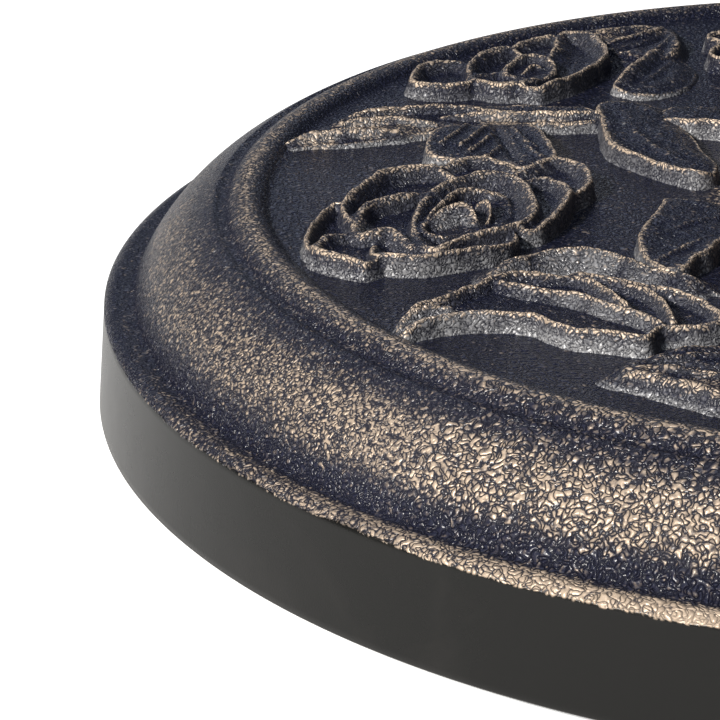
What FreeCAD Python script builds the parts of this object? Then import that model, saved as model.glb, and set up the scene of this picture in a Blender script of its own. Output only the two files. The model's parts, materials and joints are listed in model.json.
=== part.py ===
"""Round parasol base: a cast disc with rose relief, a steel pole tube on a flange, and the tube's clamp.

The origin lies on the ground at the centre of the base, under its foam pads. +Z runs up along the pole, and
the clamp's knob points along +X. All sizes are in millimetres.
"""
import FreeCAD
import Part

import math
import os
from collections import namedtuple

import Sketcher

Vector = FreeCAD.Vector
Rotation = FreeCAD.Rotation
Placement = FreeCAD.Placement

# Driving dimensions. Each one is a cell of the sheet "Sizes", under the same alias.
SIZES = {
    # Cast base
    "base_radius": 225.0,
    "skirt_height": 28.4,
    "skirt_draft": 1.8,
    "skirt_edge_break": 1.0,
    "shoulder_width": 7.2,
    "ogee_foot_rise": 1.4,
    "ogee_width": 20.5,
    "ogee_rise": 21.2,
    "ogee_round": 46.6,
    "groove_width": 3.2,
    "bead_width": 10.8,
    "bead_round": 6.7,
    "bead_foot_rise": 0.5,
    "boss_ledge": 4.0,
    "boss_rise": 4.0,
    "skin_thickness": 6.0,
    "relief_rise": 6.0,
    # Ballast, anchor and feet
    "drain_radius": 9.0,
    "drain_wall": 3.0,
    "cast_in_clearance": 0.05,
    "anchor_thickness": 3.0,
    "anchor_margin": 5.0,
    "nut_pocket_clearance": 2.5,
    "nut_pocket_spare": 6.0,
    "pad_thickness": 2.0,
    "pad_radius": 16.0,
    "pad_inset": 35.0,
    "pad_count": 6,
    # Flange and its bolts
    "gasket_thickness": 1.5,
    "flange_width": 23.0,
    "flange_thickness": 4.0,
    "weld_leg": 3.0,
    "bolt_offset": 12.0,
    "bolt_count": 3,
    "bolt_radius": 4.0,
    "bolt_length": 30.0,
    "bolt_head_flats": 13.0,
    "bolt_head_height": 5.3,
    "bolt_hole_clearance": 0.5,
    "thread_clearance": 0.05,
    "washer_radius": 8.0,
    "washer_thickness": 1.6,
    "nut_height": 6.8,
    # Tube, seat and cover
    "tube_radius": 27.0,
    "tube_wall": 2.0,
    "tube_length": 257.0,
    "weld_clearance": 0.05,
    "seat_clearance": 0.4,
    "seat_wall": 3.6,
    "seat_floor": 4.0,
    "seat_height": 10.0,
    "seat_drain_radius": 8.0,
    "cover_gap": 3.0,
    "cover_wall": 3.0,
    "cover_rim_height": 10.0,
    "cover_dome_width": 9.5,
    "cover_dome_rise": 12.5,
    "cover_dome_round": 14.0,
    "cover_neck_width": 13.5,
    "cover_neck_rise": 14.5,
    "cover_neck_round": 28.0,
    "cover_bead_rise": 8.0,
    "cover_bead_round": 5.0,
    "cover_sliding_length": 10.0,
    "cover_clearance": 0.5,
    # Collar and reducer
    "collar_wall": 4.35,
    "collar_clearance": 0.15,
    "collar_height": 56.0,
    "collar_lip": 2.0,
    "collar_lip_overlap": 1.6,
    "reducer_clearance": 0.3,
    "reducer_wall": 5.45,
    "reducer_length": 80.0,
    "reducer_flange_width": 2.5,
    "reducer_flange_thickness": 3.0,
    "reducer_slot_clearance": 1.0,
    # Clamp
    "clamp_drop": 24.0,
    "shoe_radius": 7.0,
    "shoe_length": 4.5,
    "shoe_retreat": 0.4,
    "shoe_clearance": 0.3,
    "shoe_socket_depth": 2.5,
    "shoe_play": 0.15,
    "running_clearance": 0.05,
    "screw_radius": 5.0,
    "screw_tip_radius": 3.0,
    "screw_length": 43.0,
    "nut_boss_radius": 11.0,
    "nut_boss_length": 14.4,
    "housing_wall": 3.7,
    "housing_clearance": 0.3,
    "knob_radius": 25.0,
    "knob_thickness": 18.0,
    "knob_gap": 12.5,
    "knob_neck_radius": 9.0,
    "knob_neck_length": 3.0,
    "knob_lobes": 5,
    "knob_scallop_radius": 9.0,
    "knob_scallop_offset": 29.0,
    "knob_edge_round": 2.5,
    "cap_radius": 9.0,
    "cap_thickness": 3.0,
    "cap_recess": 2.0,
}

doc = FreeCAD.newDocument("parasol_base")


class Size:
    """A number together with the sheet expression that gives it."""

    def __init__(self, value, text):
        self.value = value
        self.text = text

    def _joined(self, other, sign, value):
        return Size(value, f"({self.text} {sign} {sized(other).text})")

    def __add__(self, other):
        return self._joined(other, "+", self.value + sized(other).value)

    def __sub__(self, other):
        return self._joined(other, "-", self.value - sized(other).value)

    def __mul__(self, other):
        return self._joined(other, "*", self.value * sized(other).value)

    def __truediv__(self, other):
        return self._joined(other, "/", self.value / sized(other).value)


def sized(value):
    """Gives a plain number as a Size, and a Size as it is."""
    return value if isinstance(value, Size) else Size(float(value), f"{value}")


def make_sheet():
    """Writes the driving dimensions into the sheet and gives them as a named tuple of Size."""
    sheet = doc.addObject("Spreadsheet::Sheet", "Sizes")
    for row, (alias, value) in enumerate(SIZES.items(), start=1):
        sheet.set(f"A{row}", alias)
        sheet.set(f"B{row}", f"{value}")
        sheet.setAlias(f"B{row}", alias)
    doc.recompute()
    cells = {alias: Size(float(value), f"Sizes.{alias}") for alias, value in SIZES.items()}
    return namedtuple("Cells", cells)(**cells)


SZ = make_sheet()

# Levels above the ground
FOOT = SZ.pad_thickness
SHOULDER_LEVEL = FOOT + SZ.skirt_height
OGEE_FOOT_LEVEL = SHOULDER_LEVEL + SZ.ogee_foot_rise
OGEE_TOP_LEVEL = OGEE_FOOT_LEVEL + SZ.ogee_rise
FIELD_LEVEL = OGEE_TOP_LEVEL + SZ.bead_foot_rise
BOSS_LEVEL = FIELD_LEVEL + SZ.boss_rise
CAVITY_LEVEL = FIELD_LEVEL - SZ.skin_thickness
FLANGE_LEVEL = BOSS_LEVEL + SZ.gasket_thickness
FLANGE_TOP = FLANGE_LEVEL + SZ.flange_thickness
TUBE_TOP = FLANGE_LEVEL + SZ.tube_length
COLLAR_LOW = TUBE_TOP - SZ.collar_height
COLLAR_TOP = TUBE_TOP + SZ.collar_lip
CLAMP_LEVEL = TUBE_TOP - SZ.clamp_drop

# Radii about the pole
SHOULDER_RADIUS = SZ.base_radius - SZ.skirt_draft - SZ.skirt_edge_break - SZ.shoulder_width
OGEE_TOP_RADIUS = SHOULDER_RADIUS - SZ.ogee_width
BEAD_RADIUS = OGEE_TOP_RADIUS - SZ.groove_width
FIELD_RADIUS = BEAD_RADIUS - SZ.bead_width
SLEEVE_RADIUS = SZ.drain_radius + SZ.drain_wall
TUBE_INNER = SZ.tube_radius - SZ.tube_wall
BOLT_CIRCLE = SZ.tube_radius + SZ.bolt_offset
FLANGE_RADIUS = SZ.tube_radius + SZ.flange_width
ANCHOR_RADIUS = FLANGE_RADIUS + SZ.anchor_margin
COVER_RADIUS = FLANGE_RADIUS + SZ.cover_gap + SZ.cover_wall
BOSS_RADIUS = COVER_RADIUS + SZ.boss_ledge
PAD_CIRCLE = SZ.base_radius - SZ.pad_inset
COLLAR_BORE = SZ.tube_radius + SZ.collar_clearance
COLLAR_RADIUS = COLLAR_BORE + SZ.collar_wall

# Distances from the pole's axis along the clamp's screw
SHOE_FACE = TUBE_INNER - SZ.shoe_retreat
SHOE_BACK = SHOE_FACE + SZ.shoe_length
SHOE_HOLE_RADIUS = SZ.shoe_radius + SZ.shoe_clearance
SHOE_HOLE_END = SHOE_BACK + SZ.shoe_clearance
NUT_END = SZ.tube_radius + SZ.nut_boss_length
HOUSING_POCKET_END = NUT_END + SZ.housing_clearance
HOUSING_END = HOUSING_POCKET_END + SZ.housing_wall
KNOB_LOW = HOUSING_END + SZ.knob_gap


def bind(target, **properties):
    """Binds properties of an object to sizes. A double underscore stands for a dot in a property's path."""
    for path, size in properties.items():
        target.setExpression(path.replace("__", "."), sized(size).text)
    return target


def origin_plane(body, role):
    """Gives one of the body's own origin planes."""
    return next(plane for plane in body.Origin.OriginFeatures if plane.Role == role)


def new_sketch(body, name, role):
    """Makes a sketch on one of the body's own origin planes."""
    sketch = body.newObject("Sketcher::SketchObject", name)
    sketch.AttachmentSupport = [(origin_plane(body, role), "")]
    sketch.MapMode = "FlatFace"
    return sketch


def arc_between(start, end, radius):
    """Makes the minor arc that keeps its centre on the left of the way from start to end, or on its right.

    A positive radius turns left. The arc itself always runs anticlockwise, so a right-hand arc is stored
    from its end to its start.
    """
    chord = end - start
    half = chord.Length / 2
    left = Vector(-chord.y, chord.x, 0).normalize()
    away = math.sqrt(max(radius * radius - half * half, 0.0))
    centre = start + chord * 0.5 + left * math.copysign(away, radius)
    first, last = (start, end) if radius > 0 else (end, start)
    first_angle = math.atan2(first.y - centre.y, first.x - centre.x)
    last_angle = math.atan2(last.y - centre.y, last.x - centre.x)
    circle = Part.Circle(centre, Vector(0, 0, 1), abs(radius))
    return Part.ArcOfCircle(circle, first_angle, last_angle)


def hold_point(sketch, geometry, point, corner):
    """Places a sketch point at a corner given by its radius and its height."""
    names = (("DistanceX", -2, corner[0]), ("DistanceY", -1, corner[1]))
    for kind, axis, size in names:
        size = sized(size)
        if size.text == "0":
            sketch.addConstraint(Sketcher.Constraint("PointOnObject", geometry, point, axis))
            continue
        index = sketch.addConstraint(Sketcher.Constraint(kind, -1, 1, geometry, point, size.value))
        sketch.setExpression(f"Constraints[{index}]", size.text)


def lathe(name, outline):
    """Turns a closed outline about the body's Z axis.

    Each corner is (radius, height), and a third entry gives the radius of the arc that leaves it: positive
    for a left turn, negative for a right turn.
    """
    body = doc.addObject("PartDesign::Body", name)
    sketch = new_sketch(body, f"{name}_outline", "XZ_Plane")
    corners = [Vector(sized(corner[0]).value, sized(corner[1]).value, 0) for corner in outline]
    ends = []
    for index, corner in enumerate(outline):
        start = corners[index]
        end = corners[(index + 1) % len(corners)]
        if len(corner) == 2:
            ends.append((sketch.addGeometry(Part.LineSegment(start, end)), 1, 2))
            continue
        turn, round_size = corner[2]
        geometry = sketch.addGeometry(arc_between(start, end, turn * round_size.value))
        ends.append((geometry, 1, 2) if turn > 0 else (geometry, 2, 1))
        constraint = sketch.addConstraint(Sketcher.Constraint("Radius", geometry, round_size.value))
        sketch.setExpression(f"Constraints[{constraint}]", round_size.text)
    for index, (geometry, first, last) in enumerate(ends):
        following, following_first, _ = ends[(index + 1) % len(ends)]
        joint = Sketcher.Constraint("Coincident", geometry, last, following, following_first)
        sketch.addConstraint(joint)
        hold_point(sketch, geometry, first, outline[index])
    revolution = body.newObject("PartDesign::Revolution", f"{name}_turned")
    revolution.Profile = sketch
    revolution.ReferenceAxis = (sketch, ["V_Axis"])
    revolution.Angle = 360
    doc.recompute()
    return body


def left(round_size):
    """An arc that turns left along the outline."""
    return (1, round_size)


def right(round_size):
    """An arc that turns right along the outline."""
    return (-1, round_size)


def cut_circles(body, name, radius, distance, count, depth=None, level=None):
    """Cuts a ring of round holes parallel to Z, through everything or to a depth below a level."""
    before = body.Shape.Volume
    sketch = new_sketch(body, f"{name}_circle", "XY_Plane")
    if level is not None:
        bind(sketch, AttachmentOffset__Base__z=level)
    circle = Part.Circle(Vector(distance.value, 0, 0), Vector(0, 0, 1), radius.value)
    geometry = sketch.addGeometry(circle)
    sketch.addConstraint(Sketcher.Constraint("PointOnObject", geometry, 3, -1))
    place = sketch.addConstraint(Sketcher.Constraint("DistanceX", -1, 1, geometry, 3, distance.value))
    width = sketch.addConstraint(Sketcher.Constraint("Radius", geometry, radius.value))
    sketch.setExpression(f"Constraints[{place}]", distance.text)
    sketch.setExpression(f"Constraints[{width}]", radius.text)
    pocket = body.newObject("PartDesign::Pocket", name)
    pocket.Profile = sketch
    if depth is None:
        pocket.Type = "ThroughAll"
        pocket.SideType = "Symmetric"
    else:
        bind(pocket, Length=depth)
    doc.recompute()
    pattern = body.newObject("PartDesign::PolarPattern", f"{name}_pattern")
    pattern.Originals = [pocket]
    pattern.Axis = (origin_plane(body, "Z_Axis"), [""])
    pattern.Angle = 360
    bind(pattern, Occurrences=count)
    body.Tip = pattern
    doc.recompute()
    if body.Shape.Volume >= before:
        raise RuntimeError(f"{name} cuts nothing")
    return body


def cylinder(name, radius, height, low=0):
    """Makes an upright cylinder on the pole's axis."""
    made = doc.addObject("Part::Cylinder", name)
    return bind(made, Radius=radius, Height=height, Placement__Base__z=low)


def hexagon(name, flats, height, low):
    """Makes an upright hexagonal prism, given its width across flats."""
    made = doc.addObject("Part::Prism", name)
    made.Polygon = 6
    return bind(made, Circumradius=flats / math.sqrt(3), Height=height, Placement__Base__z=low)


def cut(name, base, tools):
    """Cuts tools from a base shape."""
    tool = tools[0] if len(tools) == 1 else fuse(f"{name}_tools", tools)
    made = doc.addObject("Part::Cut", name)
    made.Base = base
    made.Tool = tool
    return made


def fuse(name, shapes):
    """Joins shapes into one."""
    made = doc.addObject("Part::MultiFuse", name)
    made.Shapes = shapes
    return made


def along_clamp(made):
    """Turns a piece made along Z so that it lies along the clamp's screw, at the clamp's height."""
    made.Placement = Placement(Vector(0, 0, 0), Rotation(Vector(0, 1, 0), 90))
    return bind(made, Placement__Base__z=CLAMP_LEVEL)


def on_bolt_circle(name, make_one):
    """Makes one fastener per bolt and groups them as separate solids."""
    members = []
    for index in range(int(SZ.bolt_count.value)):
        member = make_one(f"{name}_{index + 1}")
        angle = f"(360 / Sizes.bolt_count * {index})"
        member.setExpression("Placement.Rotation.Angle", angle)
        member.setExpression("Placement.Base.x", f"{BOLT_CIRCLE.text} * cos({angle} * 1deg)")
        member.setExpression("Placement.Base.y", f"{BOLT_CIRCLE.text} * sin({angle} * 1deg)")
        members.append(member)
    group = doc.addObject("Part::Compound", name)
    group.Links = members
    return group


# Relief. Its points are laid out by hand, in millimetres from the pole, for a field of this radius.
LAYOUT_FIELD_RADIUS = 180.5
RELIEF_REPEATS = 3
RELIEF_SINK = 1.0

Leaf = namedtuple("Leaf", "stem tip width rise")
Rose = namedtuple("Rose", "centre size")

LEAVES = (
    Leaf((-82, -96), (-146, -106), 26, 1.00),
    Leaf((-66, -137), (-100, -137), 16, 0.90),
    Leaf((-76, -72), (-132, -64), 15, 0.84),
    Leaf((-64, -14), (-86, -60), 22, 0.96),
    Leaf((-72, 8), (-91, 62), 16, 0.80),
    Leaf((-94, 58), (-176, 33), 20, 0.92),
    Leaf((-120, 14), (-125, 52), 28, 0.88),
    Leaf((-68, 120), (-83, 90), 13, 0.86),
)
ROSES = (
    Rose((-132, -20), 1.0),
    Rose((-110, 104), 0.84),
)


def leaf_solid(leaf, scale, floor, rise):
    """Makes a leaf as a flat slab between two arcs that meet at its tip and its stem."""
    stem = Vector(leaf.stem[0], leaf.stem[1], 0) * scale
    tip = Vector(leaf.tip[0], leaf.tip[1], 0) * scale
    middle = (stem + tip) * 0.5
    across = Vector(stem.y - tip.y, tip.x - stem.x, 0).normalize() * (leaf.width * scale / 2)
    sides = [Part.Arc(stem, middle + across, tip).toShape(), Part.Arc(tip, middle - across, stem).toShape()]
    slab = Part.Face(Part.Wire(sides)).extrude(Vector(0, 0, rise * leaf.rise + RELIEF_SINK))
    slab.translate(Vector(0, 0, floor - RELIEF_SINK))
    return slab


def rose_solids(rose, scale, floor, rise):
    """Makes a rose as a ring of petals, a smaller raised ring and a bud, each a tapered disc."""
    petal_rows = (
        # count, distance from the centre, foot radius, top radius, share of the relief's rise
        (5, 19.0, 17.0, 15.5, 0.78),
        (3, 8.5, 12.0, 11.0, 1.00),
        (1, 0.0, 6.5, 5.5, 1.14),
    )
    size = scale * rose.size
    centre = Vector(rose.centre[0], rose.centre[1], 0) * scale
    solids = []
    for count, distance, foot_radius, top_radius, share in petal_rows:
        for index in range(count):
            angle = 2 * math.pi * index / count
            place = centre + Vector(math.cos(angle), math.sin(angle), 0) * (distance * size)
            place.z = floor - RELIEF_SINK
            cone = Part.makeCone(foot_radius * size, top_radius * size, rise * share + RELIEF_SINK, place)
            solids.append(cone)
    return solids


def make_relief():
    """Makes the roses and leaves of one third of the field and repeats them round the pole."""
    scale = FIELD_RADIUS.value / LAYOUT_FIELD_RADIUS
    floor = FIELD_LEVEL.value
    rise = SZ.relief_rise.value
    solids = [leaf_solid(leaf, scale, floor, rise) for leaf in LEAVES]
    for rose in ROSES:
        solids.extend(rose_solids(rose, scale, floor, rise))
    third = solids[0].fuse(solids[1:])
    thirds = []
    for index in range(RELIEF_REPEATS):
        copy = third.copy()
        copy.rotate(Vector(0, 0, 0), Vector(0, 0, 1), 360 / RELIEF_REPEATS * index)
        thirds.append(copy)
    relief = doc.addObject("Part::Feature", "relief")
    relief.Shape = Part.makeCompound(thirds)
    return relief


def make_base_shell():
    """The cast skin: skirt, ogee rim, bead and field in one, with the relief and the boss."""
    hole = SLEEVE_RADIUS + SZ.cast_in_clearance
    inside = SZ.base_radius - SZ.skin_thickness
    blank = lathe("base_shell_blank", [
        (inside, FOOT),
        (SZ.base_radius, FOOT),
        (SZ.base_radius - SZ.skirt_draft, SHOULDER_LEVEL - SZ.skirt_edge_break),
        (SZ.base_radius - SZ.skirt_draft - SZ.skirt_edge_break, SHOULDER_LEVEL),
        (SHOULDER_RADIUS, SHOULDER_LEVEL),
        (SHOULDER_RADIUS, OGEE_FOOT_LEVEL, left(SZ.ogee_round)),
        (OGEE_TOP_RADIUS, OGEE_TOP_LEVEL),
        (BEAD_RADIUS, OGEE_TOP_LEVEL, left(SZ.bead_round)),
        (FIELD_RADIUS, FIELD_LEVEL),
        (BOSS_RADIUS, FIELD_LEVEL),
        (BOSS_RADIUS, BOSS_LEVEL),
        (hole, BOSS_LEVEL),
        (hole, CAVITY_LEVEL),
        (OGEE_TOP_RADIUS - SZ.skin_thickness, CAVITY_LEVEL),
        (SHOULDER_RADIUS - SZ.skin_thickness, SHOULDER_LEVEL - SZ.skin_thickness),
        (inside - SZ.skirt_draft, SHOULDER_LEVEL - SZ.skin_thickness),
    ])
    cut_circles(blank, "base_bolt_holes", SZ.bolt_radius + SZ.bolt_hole_clearance,
                BOLT_CIRCLE, SZ.bolt_count)
    return fuse("base_shell", [blank, make_relief()])


def make_ballast_core():
    """The concrete that fills the skin, with a bed for the anchor plate and pockets for the bolt ends."""
    hole = SLEEVE_RADIUS + SZ.cast_in_clearance
    bed_radius = ANCHOR_RADIUS + SZ.cast_in_clearance
    bed_level = CAVITY_LEVEL - SZ.anchor_thickness
    inside = SZ.base_radius - SZ.skin_thickness
    core = lathe("ballast_core", [
        (hole, FOOT),
        (inside, FOOT),
        (inside - SZ.skirt_draft, SHOULDER_LEVEL - SZ.skin_thickness),
        (SHOULDER_RADIUS - SZ.skin_thickness, SHOULDER_LEVEL - SZ.skin_thickness),
        (OGEE_TOP_RADIUS - SZ.skin_thickness, CAVITY_LEVEL),
        (bed_radius, CAVITY_LEVEL),
        (bed_radius, bed_level),
        (hole, bed_level),
    ])
    bolt_end = FLANGE_TOP + SZ.washer_thickness - SZ.bolt_length
    radius = SZ.bolt_head_flats / math.sqrt(3) + SZ.nut_pocket_clearance
    return cut_circles(core, "nut_pockets", radius, BOLT_CIRCLE, SZ.bolt_count,
                       depth=bed_level - bolt_end + SZ.nut_pocket_spare, level=bed_level)


def make_anchor_plate():
    """The steel disc under the boss that the nuts are welded to."""
    low = CAVITY_LEVEL - SZ.anchor_thickness
    hole = SLEEVE_RADIUS + SZ.cast_in_clearance
    plate = lathe("anchor_plate", [
        (hole, low),
        (ANCHOR_RADIUS, low),
        (ANCHOR_RADIUS, CAVITY_LEVEL),
        (hole, CAVITY_LEVEL),
    ])
    return cut_circles(plate, "anchor_holes", SZ.bolt_radius + SZ.bolt_hole_clearance,
                       BOLT_CIRCLE, SZ.bolt_count)


def make_anchor_nut(name):
    """One nut welded under the anchor plate."""
    low = CAVITY_LEVEL - SZ.anchor_thickness - SZ.nut_height
    bore = cylinder(f"{name}_bore", SZ.bolt_radius + SZ.thread_clearance, SZ.nut_height, low)
    return cut(name, hexagon(f"{name}_prism", SZ.bolt_head_flats, SZ.nut_height, low), [bore])


def make_bolt(name):
    """One hex bolt through washer, flange, gasket, boss and anchor plate."""
    seat = FLANGE_TOP + SZ.washer_thickness
    head = hexagon(f"{name}_head", SZ.bolt_head_flats, SZ.bolt_head_height, seat)
    shank = cylinder(f"{name}_shank", SZ.bolt_radius, SZ.bolt_length, seat - SZ.bolt_length)
    return fuse(name, [head, shank])


def make_washer(name):
    """One washer under a bolt's head."""
    disc = cylinder(f"{name}_disc", SZ.washer_radius, SZ.washer_thickness, FLANGE_TOP)
    hole = cylinder(f"{name}_hole", SZ.bolt_radius + SZ.bolt_hole_clearance, SZ.washer_thickness, FLANGE_TOP)
    return cut(name, disc, [hole])


def make_drain_sleeve():
    """The plastic tube that keeps the drain open through the ballast."""
    return lathe("drain_sleeve", [
        (SZ.drain_radius, FOOT),
        (SLEEVE_RADIUS, FOOT),
        (SLEEVE_RADIUS, BOSS_LEVEL),
        (SZ.drain_radius, BOSS_LEVEL),
    ])


def make_foot_pads():
    """The foam pads under the ballast, evenly spaced."""
    pads = []
    for index in range(int(SZ.pad_count.value)):
        pad = cylinder(f"foot_pad_{index + 1}", SZ.pad_radius, SZ.pad_thickness)
        angle = f"(360 / Sizes.pad_count * ({index} + 0.5) * 1deg)"
        pad.setExpression("Placement.Base.x", f"{PAD_CIRCLE.text} * cos({angle})")
        pad.setExpression("Placement.Base.y", f"{PAD_CIRCLE.text} * sin({angle})")
        pads.append(pad)
    return pads


def make_gasket():
    """The rubber sheet between boss and flange."""
    gasket = lathe("flange_gasket", [
        (SZ.tube_radius, BOSS_LEVEL),
        (FLANGE_RADIUS, BOSS_LEVEL),
        (FLANGE_RADIUS, FLANGE_LEVEL),
        (SZ.tube_radius, FLANGE_LEVEL),
    ])
    return cut_circles(gasket, "gasket_holes", SZ.bolt_radius + SZ.bolt_hole_clearance,
                       BOLT_CIRCLE, SZ.bolt_count)


def make_flange():
    """The steel disc welded round the tube's foot, with its weld."""
    hole = SZ.tube_radius + SZ.weld_clearance
    flange = lathe("tube_flange", [
        (hole, FLANGE_LEVEL),
        (FLANGE_RADIUS, FLANGE_LEVEL),
        (FLANGE_RADIUS, FLANGE_TOP),
        (hole + SZ.weld_leg, FLANGE_TOP),
        (hole, FLANGE_TOP + SZ.weld_leg),
    ])
    return cut_circles(flange, "flange_holes", SZ.bolt_radius + SZ.bolt_hole_clearance,
                       BOLT_CIRCLE, SZ.bolt_count)


def make_tube():
    """The pole tube, with the cross hole that the clamp's shoe passes through."""
    wall = lathe("socket_tube_blank", [
        (TUBE_INNER, FLANGE_LEVEL),
        (SZ.tube_radius, FLANGE_LEVEL),
        (SZ.tube_radius, TUBE_TOP),
        (TUBE_INNER, TUBE_TOP),
    ])
    cross_hole = along_clamp(cylinder("tube_cross_hole", SHOE_HOLE_RADIUS, NUT_END))
    return cut("socket_tube", wall, [cross_hole])


def make_pole_seat():
    """The plastic cup at the tube's foot that the pole stands in, with a drain hole."""
    radius = TUBE_INNER - SZ.seat_clearance
    floor = BOSS_LEVEL + SZ.seat_floor
    top = BOSS_LEVEL + SZ.seat_height
    return lathe("pole_seat", [
        (SZ.seat_drain_radius, BOSS_LEVEL),
        (radius, BOSS_LEVEL),
        (radius, top),
        (radius - SZ.seat_wall, top),
        (radius - SZ.seat_wall, floor),
        (SZ.seat_drain_radius, floor),
    ])


def make_hub_cover():
    """The loose bell-shaped cover that hides the flange and slides up the tube."""
    bore = SZ.tube_radius + SZ.cover_clearance
    dome_radius = COVER_RADIUS - SZ.cover_dome_width
    neck_radius = dome_radius - SZ.cover_neck_width
    dome_level = BOSS_LEVEL + SZ.cover_rim_height + SZ.cover_dome_rise
    neck_level = dome_level + SZ.cover_neck_rise
    top = neck_level + SZ.cover_bead_rise
    inner_rim = BOSS_LEVEL + SZ.cover_rim_height
    return lathe("hub_cover", [
        (COVER_RADIUS - SZ.cover_wall, BOSS_LEVEL),
        (COVER_RADIUS, BOSS_LEVEL),
        (COVER_RADIUS, inner_rim, left(SZ.cover_dome_round)),
        (dome_radius, dome_level, right(SZ.cover_neck_round)),
        (neck_radius, neck_level, left(SZ.cover_bead_round)),
        (neck_radius, top),
        (bore, top),
        (bore, top - SZ.cover_sliding_length),
        (dome_radius - SZ.cover_wall, dome_level - SZ.cover_wall),
        (COVER_RADIUS - SZ.cover_wall, inner_rim),
    ])


def arch(name, half_width, near, far, low):
    """Makes a block with a round top along the clamp's screw, from a low level up to the round."""
    block = doc.addObject("Part::Box", f"{name}_block")
    bind(block, Length=far - near, Width=half_width * 2, Height=CLAMP_LEVEL - low,
         Placement__Base__x=near, Placement__Base__y=half_width * -1, Placement__Base__z=low)
    crown = along_clamp(cylinder(f"{name}_crown", half_width, far - near))
    bind(crown, Placement__Base__x=near)
    return fuse(name, [block, crown])


def make_collar():
    """The plastic collar round the tube's top, with a lip over its edge and the clamp's housing.

    The housing is open underneath, so that the collar slides down over the welded nut.
    """
    ring = lathe("collar_ring", [
        (COLLAR_BORE, COLLAR_LOW),
        (COLLAR_RADIUS, COLLAR_LOW),
        (COLLAR_RADIUS, COLLAR_TOP),
        (SZ.tube_radius - SZ.collar_lip_overlap, COLLAR_TOP),
        (SZ.tube_radius - SZ.collar_lip_overlap, TUBE_TOP),
        (COLLAR_BORE, TUBE_TOP),
    ])
    pocket_width = SZ.nut_boss_radius + SZ.housing_clearance
    housing = arch("collar_housing", pocket_width + SZ.housing_wall, SZ.tube_radius, HOUSING_END, COLLAR_LOW)
    pocket = arch("collar_pocket", pocket_width, TUBE_INNER, HOUSING_POCKET_END, COLLAR_LOW)
    screw_hole = along_clamp(cylinder("collar_screw_hole", SZ.screw_radius + SZ.bolt_hole_clearance,
                                      HOUSING_END))
    bore = cylinder("collar_tube_space", COLLAR_BORE, SZ.collar_height, COLLAR_LOW)
    return cut("tube_collar", fuse("collar_body", [ring, housing]), [pocket, screw_hole, bore])


def make_reducer():
    """The plastic insert for thinner poles. Its slot is open below, so it lifts out past the clamp's shoe."""
    radius = TUBE_INNER - SZ.reducer_clearance
    bore = radius - SZ.reducer_wall
    low = COLLAR_TOP - SZ.reducer_length
    flange_radius = SZ.tube_radius + SZ.reducer_flange_width
    blank = lathe("reducer_blank", [
        (bore, low),
        (radius, low),
        (radius, COLLAR_TOP),
        (flange_radius, COLLAR_TOP),
        (flange_radius, COLLAR_TOP + SZ.reducer_flange_thickness),
        (bore, COLLAR_TOP + SZ.reducer_flange_thickness),
    ])
    slot = arch("reducer_slot", SZ.shoe_radius + SZ.reducer_slot_clearance, sized(0), SZ.tube_radius, low)
    return cut("pole_reducer", blank, [slot])


def make_clamp_nut():
    """The round nut welded to the tube, bored for the screw and counterbored for the shoe."""
    blank = along_clamp(cylinder("clamp_nut_blank", SZ.nut_boss_radius, NUT_END))
    tube_space = cylinder("clamp_nut_saddle", SZ.tube_radius + SZ.weld_clearance, SZ.tube_length, FLANGE_LEVEL)
    bore = along_clamp(cylinder("clamp_nut_bore", SZ.screw_radius + SZ.running_clearance, NUT_END))
    shoe_space = along_clamp(cylinder("clamp_nut_counterbore", SHOE_HOLE_RADIUS, SHOE_HOLE_END))
    return cut("clamp_nut", blank, [tube_space, bore, shoe_space])


def make_clamp_shoe():
    """The plastic shoe that presses on the pole and lets the screw turn in its socket."""
    socket = SZ.screw_tip_radius + SZ.running_clearance
    socket_end = SHOE_BACK - SZ.shoe_socket_depth
    return along_clamp(lathe("clamp_shoe", [
        (0, SHOE_FACE),
        (SZ.shoe_radius, SHOE_FACE),
        (SZ.shoe_radius, SHOE_BACK),
        (socket, SHOE_BACK),
        (socket, socket_end),
        (0, socket_end),
    ]))


def make_clamp_screw():
    """The screw, whose thinner tip turns in the shoe."""
    tip = SHOE_BACK - SZ.shoe_socket_depth + SZ.shoe_play
    shoulder = SHOE_BACK + SZ.shoe_play
    end = tip + SZ.screw_length
    return along_clamp(lathe("clamp_screw", [
        (0, tip),
        (SZ.screw_tip_radius, tip),
        (SZ.screw_tip_radius, shoulder),
        (SZ.screw_radius, shoulder),
        (SZ.screw_radius, end),
        (0, end),
    ]))


def make_clamp_knob():
    """The lobed knob moulded on the screw, with a neck on its inner side and a recess for the cap."""
    screw_end = SHOE_BACK - SZ.shoe_socket_depth + SZ.shoe_play + SZ.screw_length
    face = KNOB_LOW + SZ.knob_neck_length
    top = face + SZ.knob_thickness
    knob = lathe("clamp_knob", [
        (SZ.screw_radius, KNOB_LOW),
        (SZ.knob_neck_radius, KNOB_LOW),
        (SZ.knob_neck_radius, face),
        (SZ.knob_radius - SZ.knob_edge_round, face, left(SZ.knob_edge_round)),
        (SZ.knob_radius, face + SZ.knob_edge_round),
        (SZ.knob_radius, top - SZ.knob_edge_round, left(SZ.knob_edge_round)),
        (SZ.knob_radius - SZ.knob_edge_round, top),
        (SZ.cap_radius, top),
        (SZ.cap_radius, top - SZ.cap_recess),
        (0, top - SZ.cap_recess),
        (0, screw_end),
        (SZ.screw_radius, screw_end),
    ])
    cut_circles(knob, "knob_scallops", SZ.knob_scallop_radius, SZ.knob_scallop_offset, SZ.knob_lobes)
    return along_clamp(knob)


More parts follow.
